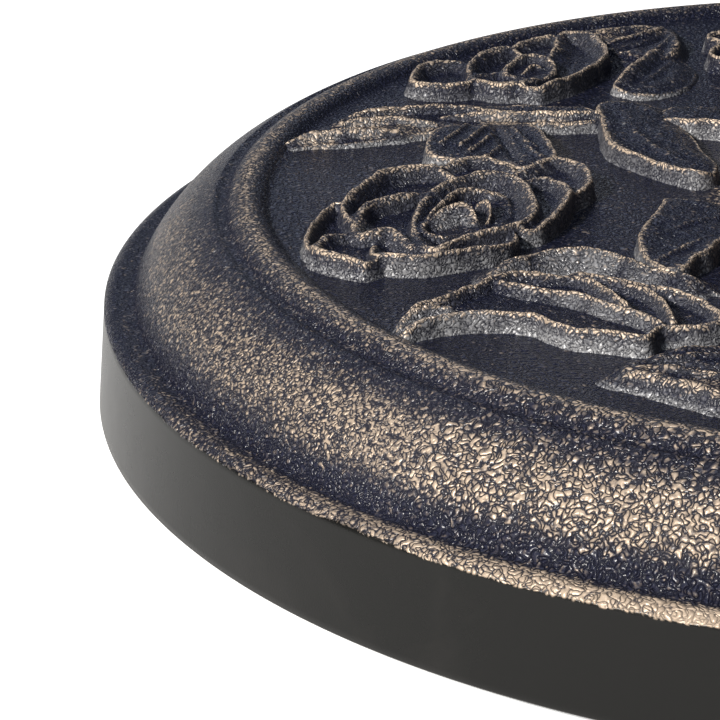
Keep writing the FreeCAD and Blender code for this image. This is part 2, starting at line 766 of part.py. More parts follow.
def make_knob_cap():
    """The domed cap in the knob's face."""
    low = KNOB_LOW + SZ.knob_neck_length + SZ.knob_thickness - SZ.cap_recess
    side = low + SZ.cap_recess
    top = low + SZ.cap_thickness
    radius = SZ.cap_radius - SZ.running_clearance
    return along_clamp(lathe("knob_cap", [
        (0, low),
        (radius, low),
        (radius, side),
        (radius - SZ.cap_thickness + SZ.cap_recess, top),
        (0, top),
    ]))


def make_pieces():
    """Makes every piece of the parasol base, in the order of assembly."""
    return [
        make_base_shell(),
        make_ballast_core(),
        make_anchor_plate(),
        on_bolt_circle("anchor_nuts", make_anchor_nut),
        make_drain_sleeve(),
        *make_foot_pads(),
        make_gasket(),
        make_flange(),
        make_tube(),
        on_bolt_circle("flange_bolts", make_bolt),
        on_bolt_circle("flange_washers", make_washer),
        make_pole_seat(),
        make_hub_cover(),
        make_clamp_nut(),
        make_collar(),
        make_reducer(),
        make_clamp_shoe(),
        make_clamp_screw(),
        make_clamp_knob(),
        make_knob_cap(),
    ]


def check_document(pieces):
    """Stops if an object of the document failed, or if a piece has no valid shape."""
    for member in doc.Objects:
        if "Invalid" in member.State or "Error" in member.State:
            raise RuntimeError(f"{member.Label} failed: {member.State}")
    for piece in pieces:
        if piece.Shape.isNull() or not piece.Shape.isValid():
            raise RuntimeError(f"{piece.Label} has no valid shape")


def main():
    pieces = make_pieces()
    doc.recompute()
    check_document(pieces)
    os.makedirs("parts", exist_ok=True)
    for piece in pieces:
        piece.Shape.exportStep(os.path.join("parts", f"{piece.Label}.step"))
        box = piece.Shape.BoundBox
        print(f"{piece.Label:16s} solids {len(piece.Shape.Solids)} volume {piece.Shape.Volume / 1000:9.2f} cm3"
              f"  z {box.ZMin:7.2f} to {box.ZMax:7.2f}")


main()
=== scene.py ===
"""Dresses a round parasol base: a cast disc with rose relief, a pole tube on a flange, and the tube's clamp.

Lengths are in millimetres in the pattern of each class, and are scaled to metres when a mesh is finished.
"""
import json
import logging
import math
from collections.abc import Callable
from dataclasses import dataclass, replace
from enum import Enum

import bmesh
import bpy
import numpy as np
from mathutils import Matrix, Vector


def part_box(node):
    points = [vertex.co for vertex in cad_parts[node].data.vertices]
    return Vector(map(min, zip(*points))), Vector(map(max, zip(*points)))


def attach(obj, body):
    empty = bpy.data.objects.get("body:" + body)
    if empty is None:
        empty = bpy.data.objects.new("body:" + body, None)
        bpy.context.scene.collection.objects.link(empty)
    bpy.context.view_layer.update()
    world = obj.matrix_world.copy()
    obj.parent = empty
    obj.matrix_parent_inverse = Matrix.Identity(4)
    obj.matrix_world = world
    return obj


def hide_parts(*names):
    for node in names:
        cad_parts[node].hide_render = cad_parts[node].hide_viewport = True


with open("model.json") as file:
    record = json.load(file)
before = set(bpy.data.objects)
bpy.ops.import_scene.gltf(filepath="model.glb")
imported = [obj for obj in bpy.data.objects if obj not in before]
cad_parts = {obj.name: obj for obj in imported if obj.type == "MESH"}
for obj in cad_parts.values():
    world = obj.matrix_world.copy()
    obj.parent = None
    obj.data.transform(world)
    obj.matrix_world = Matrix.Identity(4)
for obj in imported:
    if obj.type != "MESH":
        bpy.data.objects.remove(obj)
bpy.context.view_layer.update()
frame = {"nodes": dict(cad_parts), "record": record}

LOG = logging.getLogger("parasol_base")
MM = 0.001

# A vertex's values from 0 to 1 that the cast finish reads: how much bronze is rubbed on, more on one side of the rim,
# which in part paints in a highlight there; how coarse the hammered lumps are (0 on the field, RELIEF_GRAIN on roses
# and leaves, more on the rim); and how much silvery paint lies on the walls that face the light, a painted highlight in
# part.
RUB = "rub"
GRAIN = "grain"
LIT_WALL_SILVER = "lit_wall_silver"
RELIEF_GRAIN = 0.4
HUB_GRAIN = 0.6


# ---------------------------------------------------------------------------------------------- shader maths


def arithmetic(operation: str, swapped: bool = False) -> Callable[["Signal", object], "Signal"]:
    """Makes a method that adds a Math node.

    Args:
        operation: The node's operation.
        swapped: Whether the other value comes first.

    Returns:
        The method, which takes the other value.
    """

    def apply(self: "Signal", other: object) -> "Signal":
        """Adds the node for this value and another."""
        first, second = (other, self) if swapped else (self, other)
        return self.graph.node("ShaderNodeMath", {"operation": operation}, {0: first, 1: second})

    return apply


@dataclass(frozen=True)
class Signal:
    """A node's output with the arithmetic that shaders need.

    Attributes:
        graph: The material's graph that the socket belongs to.
        socket: The output socket.
    """

    graph: "Graph"
    socket: bpy.types.NodeSocket

    __add__ = arithmetic("ADD")
    __radd__ = arithmetic("ADD", swapped=True)
    __sub__ = arithmetic("SUBTRACT")
    __rsub__ = arithmetic("SUBTRACT", swapped=True)
    __mul__ = arithmetic("MULTIPLY")
    __rmul__ = arithmetic("MULTIPLY", swapped=True)
    at_most = arithmetic("MINIMUM")
    at_least = arithmetic("MAXIMUM")

    def step(self, low: float, high: float) -> "Signal":
        """Rises smoothly from 0 at low to 1 at high.

        Args:
            low: The value at which the result is 0.
            high: The value at which the result is 1. It may be less than low, for a falling step.

        Returns:
            The step.
        """
        ends = {1: low, 2: high, 3: 0.0, 4: 1.0} if low < high else {1: high, 2: low, 3: 1.0, 4: 0.0}
        settings = {"interpolation_type": "SMOOTHSTEP", "clamp": True}
        return self.graph.node("ShaderNodeMapRange", settings, {0: self, **ends})


class Graph:
    """A new material's nodes, added by type, settings and inputs."""

    def __init__(self, name: str) -> None:
        """Makes an empty material.

        Args:
            name: The material's name.
        """
        self.material = bpy.data.materials.new(name)
        self.material.use_nodes = True
        self.tree = self.material.node_tree
        self.tree.nodes.clear()
        self.coordinates = self.node("ShaderNodeTexCoord", output="Object")

    def node(self, kind: str, settings: dict[str, object] | None = None,
             inputs: dict[int | str, object] | None = None, output: int | str = 0) -> Signal:
        """Adds one node.

        Args:
            kind: The node's type.
            settings: Properties that are set before the inputs are.
            inputs: Values or signals by input socket.
            output: The output socket that the signal reads.

        Returns:
            The node's output as a signal.
        """
        made = self.tree.nodes.new(kind)
        for key, value in (settings or {}).items():
            setattr(made, key, value)
        for key, value in (inputs or {}).items():
            if isinstance(value, Signal):
                self.tree.links.new(value.socket, made.inputs[key])
            else:
                made.inputs[key].default_value = value
        return Signal(self, made.outputs[output])

    def noise(self, size: float, detail: float = 2.0, roughness: float = 0.5, distortion: float = 0.0,
              place: Signal | None = None) -> Signal:
        """Adds a noise whose lumps are about size millimetres wide.

        Args:
            size: Width of a lump in millimetres.
            detail: Number of finer layers.
            roughness: Strength of the finer layers.
            distortion: How far the lumps are pulled out of shape.
            place: The coordinates, which default to the object's own.

        Returns:
            A signal from 0 to 1.
        """
        inputs = {"Vector": place or self.coordinates, "Scale": 1.0 / (size * MM), "Detail": detail,
                  "Roughness": roughness, "Distortion": distortion}
        return self.node("ShaderNodeTexNoise", None, inputs, "Fac")

    def islands(self, size: float) -> tuple[Signal, Signal]:
        """Adds rounded islands. The channels between them run where either of two noises passes its middle value.

        Args:
            size: Width of an island in millimetres.

        Returns:
            The height, from 0 in a channel to 1 on an island, and a value that varies from island to island.
        """
        shift = (0.31, 0.17, 0.23)
        flank = 3.3
        aside = self.node("ShaderNodeVectorMath", {"operation": "ADD"}, {0: self.coordinates, 1: shift})
        across = self.noise(size, 0.0, distortion=0.3) - 0.5
        along = self.noise(size, 0.0, distortion=0.3, place=aside) - 0.5
        tint = self.noise(size * 0.8, 0.0, place=aside)
        gap = (across * across).at_most(along * along)
        rise = (self.node("ShaderNodeMath", {"operation": "SQRT"}, {0: gap}) * flank).at_most(1.0)
        return rise * (2.0 - rise), tint

    def mix(self, factor: Signal, first: object, second: object) -> Signal:
        """Mixes two colours.

        Args:
            factor: 0 for the first colour, 1 for the second.
            first: A colour or a signal.
            second: A colour or a signal.

        Returns:
            The mixed colour.
        """
        return self.node("ShaderNodeMix", {"data_type": "RGBA"},
                         {0: factor, 6: opaque(first), 7: opaque(second)}, 2)

    def bump(self, height: Signal, depth: float) -> Signal:
        """Makes a normal with relief.

        Args:
            height: The height, from 0 to 1.
            depth: What a height of 1 means, in millimetres.

        Returns:
            The normal.
        """
        return self.node("ShaderNodeBump", None, {"Strength": 1.0, "Distance": depth * MM, "Height": height})

    def value(self, name: str) -> Signal:
        """Reads one of a piece's own attributes."""
        return self.node("ShaderNodeAttribute", {"attribute_name": name}, None, "Fac")

    def height(self) -> Signal:
        """Reads the height above the ground, in millimetres."""
        return self.node("ShaderNodeSeparateXYZ", None, {0: self.coordinates}, "Z") * (1 / MM)

    def facing_up(self) -> Signal:
        """Reads how far the surface faces up: 1 on a level face and 0 on a wall."""
        normal = self.node("ShaderNodeTexCoord", output="Normal")
        return self.node("ShaderNodeSeparateXYZ", None, {0: normal}, "Z")

    def finish(self, inputs: dict[str, object]) -> bpy.types.Material:
        """Feeds a Principled shader and ends the material.

        Args:
            inputs: Values or signals by the shader's socket.

        Returns:
            The material.
        """
        self.node_output(self.node("ShaderNodeBsdfPrincipled", None, inputs))
        return self.material

    def node_output(self, shader: Signal) -> None:
        """Links a shader to the material's output."""
        end = self.tree.nodes.new("ShaderNodeOutputMaterial")
        self.tree.links.new(shader.socket, end.inputs["Surface"])


def opaque(value: object) -> object:
    """Gives a colour of three numbers its alpha of 1, and anything else as it is."""
    return (*value, 1.0) if isinstance(value, tuple) and len(value) == 3 else value


# -------------------------------------------------------------------------------------------------- finishes

Colour = tuple[float, float, float]


@dataclass(frozen=True)
class BronzedCast:
    """A hammered near-black coat with bronze paint rubbed over its high points.

    Attributes:
        pit: Colour of the coat between the lumps.
        coat: Colour of the coat on the lumps.
        paint_and_sheen: Colour that the rubbed paint leaves between the lumps, and a painted sheen there where the rub
            is strong.
        bronze: Deep colour of the rubbed paint.
        gold: Bright colour of the rubbed paint.
        silvery_highlight: Colour of the paint drawn down the relief's walls that face the light, which in part paints
            in a highlight there.
        skirt: Colour of the plain skirt.
        smear: Colour of the smears and specks on the skirt.
        lump: Width of the coarse lumps in millimetres.
        small_lump: Width of the small lumps, as a share of that.
        speck: Width of the finest specks, as a share of that.
        stroke: Width of the painter's strokes in millimetres.
        depth: Depth of the hammered lumps in millimetres.
        skirt_top: Height where the plain skirt ends, or None on a piece that is hammered all over.
        skirt_edge: Height over which the hammered coat fades out there.
    """

    pit: Colour = (0.005, 0.006, 0.016)
    coat: Colour = (0.013, 0.015, 0.034)
    paint_and_sheen: Colour = (0.065, 0.062, 0.070)
    bronze: Colour = (0.17, 0.145, 0.13)
    gold: Colour = (0.63, 0.495, 0.375)
    # Silvery paint on the walls that face the light, which in part paints in a highlight.
    silvery_highlight: Colour = (0.43, 0.43, 0.44)
    skirt: Colour = (0.006, 0.006, 0.0055)
    smear: Colour = (0.017, 0.016, 0.015)
    lump: float = 1.75
    small_lump: float = 0.80
    speck: float = 0.24
    stroke: float = 24.0
    depth: float = 0.42
    skirt_top: float | None = None
    skirt_edge: float = 0.6

    def build(self, name: str) -> bpy.types.Material:
        """Makes the material.

        Args:
            name: The material's name.

        Returns:
            The material.
        """
        graph = Graph(name)
        grain = graph.value(GRAIN)
        upward = graph.facing_up()

        # The lumps are coarse on the rubbed side of the rim and on the field, and small elsewhere.
        coarse = (grain.step(0.62, 0.78) + grain.step(0.12, 0.05)).at_most(1.0)
        large, large_tint = graph.islands(self.lump)
        small, small_tint = graph.islands(self.lump * self.small_lump)
        lumps = large * coarse + small * (1.0 - coarse)
        tint = large_tint * coarse + small_tint * (1.0 - coarse)
        fine = graph.noise(self.lump * self.speck, 1.0, 0.55)
        brush = graph.noise(self.stroke, 4.0, 0.6)

        # On the field and the relief less bronze stays on the walls, and none closes over the lumps.
        carved = grain.step(0.5, RELIEF_GRAIN)
        wall = upward.step(0.72, 0.35) * carved
        rub = graph.value(RUB) * (1.0 - upward.step(0.60, 0.25) * carved * 0.7)
        thick = (rub - 0.84 + (brush - 0.5) * 0.7).at_least(0.0) * 1.5
        solid = ((rub - 0.60).at_least(0.0) * 0.7 + thick) * (1.0 - carved)
        top = (lumps + (fine - 0.5) * 0.25 + rub * 0.35 + solid - wall * 0.12).step(0.40, 0.80)
        patchy = (tint - 0.5) * 1.2 + (brush - 0.5) * 0.45 + (fine - 0.5) * 0.4
        amount = (rub * (carved * 0.4 + 1.2) - 0.08 + patchy).step(0.0, 1.0)
        paint = top * (amount * 1.5).at_most(1.0)
        coat = graph.mix(lumps.step(0.10, 0.60), self.pit, self.coat)
        # Between the lumps the coat takes the paint's colour where the rub is strong: partly paint, partly a painted
        # sheen.
        stain_and_sheen = graph.mix(rub * 0.55, coat, self.paint_and_sheen)
        colour = graph.mix(paint, stain_and_sheen, graph.mix(amount, self.bronze, self.gold))

        # Streaks of silvery paint run down the slopes that face the light, in part a painted highlight.
        slope = upward.step(0.99, 0.84) * graph.value(LIT_WALL_SILVER)
        wall_highlight = (fine * 0.6 + brush * 0.3 + lumps * 0.25).step(0.33, 0.82) * slope
        colour = graph.mix(wall_highlight * (1.0 - paint * 0.6), colour, self.silvery_highlight)

        relief = (lumps * (grain * 0.15 + 0.85) + fine * 0.14) * (1.0 - wall * 0.45)
        roughness = 0.27 + paint * 0.15 + wall * 0.10
        metallic = paint * 0.30 + wall_highlight * 0.2
        if self.skirt_top is not None:
            # Below a ragged edge the skirt is smooth, gently wavy and smeared.
            edge = graph.height() + (lumps - 0.6) * 0.7 + (brush - 0.5) * 3.4
            hammered = edge.step(self.skirt_top - self.skirt_edge, self.skirt_top)
            plain = 1.0 - hammered
            waves = graph.noise(30.0, 2.0, 0.5)
            smears = graph.noise(55.0, 5.0, 0.65, distortion=0.6)
            specks = (fine - 0.70).at_least(0.0) * 2.5
            bare = graph.mix((smears.step(0.50, 0.72) * 0.55 + specks).at_most(1.0), self.skirt, self.smear)
            colour = graph.mix(hammered, bare, colour)
            relief = relief * hammered + plain * (waves * 0.6 + fine * 0.06)
            roughness = roughness * hammered + plain * (smears * 0.16 + 0.19)
            metallic = metallic * hammered
        return graph.finish({"Base Color": colour, "Roughness": roughness, "Metallic": metallic,
                             "Normal": graph.bump(relief, self.depth), "Specular IOR Level": 0.35})


@dataclass(frozen=True)
class Blotched:
    """One colour with blotches of another, and a fine grain over both.

    Attributes:
        colour: The colour.
        blotch: Colour of the blotches.
        blotches: Width in millimetres, detail and roughness of the blotches' noise.
        edge: Noise values at which a blotch starts and is full.
        grain: Width in millimetres and roughness of the grain's noise.
        depth: Depth of the grain in millimetres.
        roughness: Least roughness of the surface.
        uneven: How much the noise adds to it.
        grained: Whether it is the grain that adds to it, and not the blotches.
        metallic: How metallic it is.
    """

    colour: Colour
    blotch: Colour
    blotches: tuple[float, float, float]
    edge: tuple[float, float]
    grain: tuple[float, float]
    depth: float
    roughness: float
    uneven: float
    grained: bool = False
    metallic: float = 0.0

    def build(self, name: str) -> bpy.types.Material:
        """Makes the material.

        Args:
            name: The material's name.

        Returns:
            The material.
        """
        graph = Graph(name)
        width, roughness = self.grain
        grain = graph.noise(width, 2.0, roughness)
        cloud = graph.noise(*self.blotches)
        source = grain if self.grained else cloud
        return graph.finish({"Base Color": graph.mix(cloud.step(*self.edge), self.colour, self.blotch),
                             "Metallic": self.metallic, "Roughness": source * self.uneven + self.roughness,
                             "Normal": graph.bump(grain, self.depth)})


POWDER_COAT = Blotched((0.014, 0.014, 0.016), (0.05, 0.05, 0.055), (40.0, 3.0, 0.55), (0.45, 0.8), (1.1, 0.5),
                       depth=0.10, roughness=0.38, uneven=0.16, grained=True)
BLACK_PLASTIC = Blotched((0.016, 0.016, 0.017), (0.04, 0.04, 0.042), (14.0, 4.0, 0.6), (0.56, 0.78), (0.55, 0.6),
                         depth=0.05, roughness=0.48, uneven=0.2)
GREY_PLASTIC = replace(BLACK_PLASTIC, colour=(0.12, 0.125, 0.13), blotch=(0.2, 0.2, 0.2))
SATIN_BRONZE = Blotched((0.36, 0.25, 0.15), (0.10, 0.075, 0.06), (7.0, 4.0, 0.6), (0.52, 0.74), (0.35, 0.6),
                        depth=0.025, roughness=0.34, uneven=0.2, metallic=0.65)
ZINC_STEEL = Blotched((0.56, 0.56, 0.53), (0.33, 0.34, 0.33), (6.0, 4.0, 0.6), (0.4, 0.7), (0.4, 0.5),
                      depth=0.03, roughness=0.28, uneven=0.22, metallic=1.0)
FOAM = Blotched((0.018, 0.018, 0.018), (0.0396, 0.0396, 0.0396), (9.0, 3.0, 0.6), (0.5, 0.75), (0.9, 0.6),
                depth=0.12, roughness=0.75, uneven=0.15, grained=True)
RUBBER = replace(FOAM, colour=(0.012, 0.012, 0.012), blotch=(0.0264, 0.0264, 0.0264), grain=(1.6, 0.6), depth=0.05)


@dataclass(frozen=True)
class Concrete:
    """Rough grey concrete with air holes and darker sand.

    Attributes:
        colour: Its colour.
        sand: Colour of the sand.
        holes: Number of air holes in a metre.
    """

    colour: Colour = (0.36, 0.35, 0.33)
    sand: Colour = (0.22, 0.21, 0.19)
    holes: float = 110.0

    def build(self, name: str) -> bpy.types.Material:
        """Makes the material.

        Args:
            name: The material's name.

        Returns:
            The material.
        """
        graph = Graph(name)
        cloud = graph.noise(35.0, 5.0, 0.6)
        grit = graph.noise(1.6, 3.0, 0.6)
        place = {"Vector": graph.coordinates, "Scale": self.holes}
        hole = graph.node("ShaderNodeTexVoronoi", None, place, "Distance").step(0.22, 0.12)
        colour = graph.mix((cloud * 0.6 + grit * 0.4).step(0.35, 0.65), self.colour, self.sand)
        normal = graph.bump(grit * 0.5 + (1.0 - hole) * 0.5, 0.5)
        return graph.finish({"Base Color": colour, "Roughness": 0.82 + grit * 0.1, "Normal": normal})


# ------------------------------------------------------------------------------------------------ mesh tools


def finish_mesh(shape: bmesh.types.BMesh, name: str, material: bpy.types.Material, smooth: float | None = 35.0
                ) -> bpy.types.Object:
    """Turns a bmesh in millimetres into a finished piece in metres.

    Args:
        shape: The shape, which is freed.
        name: The piece's name.
        material: Its finish.
        smooth: The sharpest edge that is shaded smooth, in degrees, or None for all edges.

    Returns:
        The piece's object.
    """
    bmesh.ops.scale(shape, vec=Vector((MM, MM, MM)), verts=shape.verts)
    bmesh.ops.recalc_face_normals(shape, faces=shape.faces)
    for face in shape.faces:
        face.smooth = True
    if smooth is not None:
        limit = math.radians(smooth)
        for edge in shape.edges:
            edge.smooth = edge.calc_face_angle(0.0) < limit
    mesh = bpy.data.meshes.new(name)
    shape.to_mesh(mesh)
    shape.free()
    mesh.materials.append(material)
    piece = bpy.data.objects.new(name, mesh)
    bpy.context.scene.collection.objects.link(piece)
    return piece


def place_piece(piece: bpy.types.Object, body: str, slot: str, *nodes: str) -> None:
    """Makes a piece ride on a body and hides the CAD nodes that it stands for.

    Args:
        piece: The piece.
        body: The body that it moves with.
        slot: Not used.
        *nodes: The CAD nodes that it stands for.
    """
    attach(piece, body)
    if nodes:
        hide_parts(*nodes)
    LOG.info("%s rides on %s with %d faces", piece.name, body, len(piece.data.polygons))


class Profile:
    """A section in the XZ plane, sampled as it is drawn."""

    def __init__(self, radius: float, height: float) -> None:
        """Starts the line at a radius and a height."""
        self.points = [(radius, height)]

    def line(self, radius: float, height: float, count: int = 1) -> "Profile":
        """Draws a straight line in equal parts.

        Args:
            radius: Radius of the end point.
            height: Height of the end point.
            count: Number of parts.

        Returns:
            The profile.
        """
        start = self.points[-1]
        for index in range(1, count + 1):
            share = index / count
            self.points.append((start[0] + (radius - start[0]) * share, start[1] + (height - start[1]) * share))
        return self

    def lines(self, *ends: tuple[float, float]) -> "Profile":
        """Draws straight lines from end to end, each given by its radius and height."""
        self.points.extend(ends)
        return self

    def arc(self, radius: float, height: float, bend: float, count: int) -> "Profile":
        """Draws the minor arc to a point.

        Args:
            radius: Radius of the end point.
            height: Height of the end point.
            bend: The arc's radius: positive if it turns left, negative if it turns right.
            count: Number of parts.

        Returns:
            The profile.
        """
        start = Vector(self.points[-1])
        end = Vector((radius, height))
        chord = end - start
        left = Vector((-chord.y, chord.x)).normalized()
        away = math.sqrt(max(bend * bend - chord.length_squared / 4, 0.0))
        centre = (start + end) / 2 + left * math.copysign(away, bend)
        arm = start - centre
        turn = math.copysign(2 * math.asin(min(chord.length / 2 / abs(bend), 1.0)), bend)
        for index in range(1, count + 1):
            angle = turn * index / count
            cosine = math.cos(angle)
            sine = math.sin(angle)
            self.points.append((centre.x + arm.x * cosine - arm.y * sine, centre.y + arm.x * sine + arm.y * cosine))
        return self

    def spun(self, steps: int) -> bmesh.types.BMesh:
        """Closes the line and turns it about the Z axis.

        Args:
            steps: Number of steps in the full turn.

        Returns:
            The shape, in millimetres.
        """
        shape = bmesh.new()
        corners = [shape.verts.new((radius, 0.0, height)) for radius, height in self.points]
        edges = [shape.edges.new(pair) for pair in zip(corners, corners[1:])]
        edges.append(shape.edges.new((corners[-1], corners[0])))
        bmesh.ops.spin(shape, geom=corners + edges, cent=(0, 0, 0), axis=(0, 0, 1), angle=2 * math.pi,
                       steps=steps, use_merge=True, use_duplicate=False)
        bmesh.ops.remove_doubles(shape, verts=shape.verts, dist=1e-4)
        return shape


def set_values(shape: bmesh.types.BMesh, name: str, values: np.ndarray) -> None:
    """Stores a value per vertex for the finishes to read.

    Args:
        shape: The shape.
        name: The attribute's name.
        values: One value from 0 to 1 per vertex.
    """
    layer = shape.verts.layers.float.new(name)
    for vertex, value in zip(shape.verts, values):
        vertex[layer] = float(value)


def coordinates_of(shape: bmesh.types.BMesh) -> np.ndarray:
    """Gives the vertices' places as rows of x, y and z."""
    return np.array([vertex.co[:] for vertex in shape.verts])


def polar_of(places: np.ndarray) -> tuple[np.ndarray, np.ndarray]:
    """Gives each place's distance and direction from the pole, the direction in radians."""
    return np.hypot(places[:, 0], places[:, 1]), np.arctan2(places[:, 1], places[:, 0])


def smooth_rise(values: np.ndarray) -> np.ndarray:
    """Rises from 0 to 1 with level ends as the values do."""
    share = np.clip(values, 0.0, 1.0)
    return share * share * (3.0 - 2.0 * share)


# ------------------------------------------------------------------------------------------------- cast base


@dataclass
class CastDisc:
    """The cast base without its relief: skirt, ogee rim, bead, field and boss.

    Attributes:
        radius: Outer radius.
        foot: Height of its lower edge above the ground.
        field_level: Height of the recessed field.
        boss_level: Height of the boss.
        boss_radius: Radius of the boss.
        hole_radius: Radius of the drain.
        boss_round: Radius of the boss's edge.
        skirt_height: Height of the skirt.
        skirt_draft: How far the skirt leans in.
        edge_break: Width of the solid's broken edge, which the shoulder keeps clear of.
        lip_width: Width of the rounded lip over the skirt.
        lip_drop: Height of the lip.
        lip_round: Radius of the lip's section.
        shoulder_width: Width of the level shoulder.
        ogee_foot_rise: Height of the step from the shoulder to the ogee.
        ogee_width: Width of the ogee.
        ogee_rise: Height of the ogee.
        ogee_round: Radius of the ogee's section.
        groove_width: Width of the groove between ogee and bead.
        bead_width: Width of the bead.
        bead_round: Radius of the bead's section.
        skin: Thickness of the skin.
        rubbed_bright_side: Direction in degrees in which the rim has the most bronze: more wear there, and a painted
            highlight on that side.
        side_fade: How much less bronze the opposite side has.
        lip_fade: How much less still on the lip.
        inner_fade: How much of that the bead and the boss are spared.
        coarse_side: Direction in degrees in which the rim's lumps are coarsest.
        steps: Number of steps in the full turn.
    """

    radius: float
    foot: float
    field_level: float
    boss_level: float
    boss_radius: float
    hole_radius: float
    boss_round: float = 1.5
    skirt_height: float = 28.4
    skirt_draft: float = 1.8
    edge_break: float = 1.0
    lip_width: float = 4.2
    lip_drop: float = 1.7
    lip_round: float = 4.6
    shoulder_width: float = 7.2
    ogee_foot_rise: float = 1.4
    ogee_width: float = 20.5
    ogee_rise: float = 21.2
    ogee_round: float = 46.6
    groove_width: float = 3.2
    bead_width: float = 10.8
    bead_round: float = 6.7
    skin: float = 6.0
    rubbed_bright_side: float = 280.0
    side_fade: float = 0.82
    lip_fade: float = 1.1
    inner_fade: float = 0.62
    coarse_side: float = 262.0
    steps: int = 720

    @property
    def skirt_radius(self) -> float:
        """Radius of the skirt's upper edge."""
        return self.radius - self.skirt_draft

    @property
    def shoulder_radius(self) -> float:
        """Inner radius of the shoulder, where the ogee starts."""
        return self.skirt_radius - self.edge_break - self.shoulder_width

    @property
    def ogee_top_radius(self) -> float:
        """Radius where the ogee ends."""
        return self.shoulder_radius - self.ogee_width

    @property
    def bead_radius(self) -> float:
        """Outer radius of the bead."""
        return self.ogee_top_radius - self.groove_width

    @property
    def field_radius(self) -> float:
        """Radius of the recessed field."""
        return self.bead_radius - self.bead_width

    @property
    def shoulder_level(self) -> float:
        """Height of the shoulder."""
        return self.foot + self.skirt_height

    def outline(self) -> Profile:
        """Draws the section, from the drain's top outwards and back inside.

        Returns:
            The section.
        """
        shoulder = self.shoulder_level
        ogee_foot = shoulder + self.ogee_foot_rise
        ogee_top = ogee_foot + self.ogee_rise
        cavity = self.field_level - self.skin
        inside = self.radius - self.skin
        line = Profile(self.hole_radius, self.boss_level)
        line.lines((self.boss_radius - self.boss_round, self.boss_level))
        line.arc(self.boss_radius, self.boss_level - self.boss_round, -self.boss_round, 4)
        line.lines((self.boss_radius + 0.4, self.field_level + 0.6), (self.boss_radius + 1.4, self.field_level))
        line.line(self.field_radius - 1.2, self.field_level, 12)
        line.lines((self.field_radius, self.field_level + 0.35))
        line.arc(self.bead_radius, ogee_top, -self.bead_round, 14)
        line.line(self.bead_radius + self.groove_width / 2, ogee_top - 0.5, 2)
        line.line(self.ogee_top_radius, ogee_top, 2)
        line.arc(self.shoulder_radius, ogee_foot, -self.ogee_round, 28)
        line.line(self.shoulder_radius + 0.3, shoulder + 0.3, 2)
        line.line(self.shoulder_radius + 1.4, shoulder - 0.1, 2)
        line.line(self.skirt_radius - self.lip_width, shoulder, 3)
        line.arc(self.skirt_radius, shoulder - self.lip_drop, -self.lip_round, 8)
        line.line(self.radius, self.foot + 0.6, 16)
        return line.lines((self.radius - 0.6, self.foot), (inside, self.foot),
                          (inside - self.skirt_draft, shoulder - self.skin),
                          (self.shoulder_radius - self.skin, shoulder - self.skin),
                          (self.ogee_top_radius - self.skin, cavity), (self.hole_radius, cavity))

    def rub_at(self, radii: np.ndarray, turns: np.ndarray) -> np.ndarray:
        """Tells how much the bronze is rubbed on by hand. One side of the rim has more of it: more wear, and also a
        painted highlight on that side.

        Args:
            radii: Distance of each place from the pole.
            turns: Direction of each place from the pole, in radians.

        Returns:
            One value from 0 to 1 per place.
        """
        # Each stop is a distance from the pole and the bronze there, from the boss to the skirt.
        stops = (
            (self.boss_radius - 2, 0.55),
            (self.boss_radius, 0.85),
            (self.boss_radius + 3, 0.06),
            (self.field_radius - 3, 0.04),
            (self.field_radius + 1.5, 0.04),
            (self.field_radius + 3.5, 0.40),
            (self.field_radius + 5.5, 0.70),
            (self.field_radius + 7.5, 0.50),
            (self.bead_radius, 0.24),
            (self.ogee_top_radius, 0.24),
            (self.ogee_top_radius + 4, 0.40),
            (self.ogee_top_radius + 8, 0.70),
            (self.ogee_top_radius + 13, 0.72),
            (self.shoulder_radius - 4, 0.68),
            (self.shoulder_radius - 1, 0.14),
            (self.shoulder_radius + 2, 0.24),
            (self.shoulder_radius + 4, 0.98),
            (self.skirt_radius - 2.6, 1.00),
            (self.skirt_radius + 0.4, 1.00),
            (self.skirt_radius + 1.0, 0.60),
        )
        even = np.interp(radii, *zip(*stops))
        # The rim gets less bronze away from one side, so that side looks brighter: a painted highlight in part.
        away = 0.5 - 0.5 * np.cos(turns - math.radians(self.rubbed_bright_side))
        lip = smooth_rise((radii - self.shoulder_radius) / 6.0)
        inner = smooth_rise((self.bead_radius - radii) / 3.0)
        return even * np.maximum(1.0 - away * (self.side_fade + self.lip_fade * lip - self.inner_fade * inner), 0.04)

    def build(self, material: bpy.types.Material) -> bpy.types.Object:
        """Makes the disc.

        Args:
            material: The cast finish with a plain skirt.

        Returns:
            The piece.
        """
        shape = self.outline().spun(self.steps)
        radii, turns = polar_of(coordinates_of(shape))
        set_values(shape, RUB, self.rub_at(radii, turns))
        rim = smooth_rise((radii - self.field_radius + 1.0) / 4.0)
        near = 0.5 + 0.5 * np.cos(turns - math.radians(self.coarse_side))
        set_values(shape, GRAIN, rim * (0.50 + 0.50 * near ** 8))
        return finish_mesh(shape, "cast_disc", material, 50.0)


# --------------------------------------------------------------------------------------------------- relief

Spot = tuple[float, float, float]


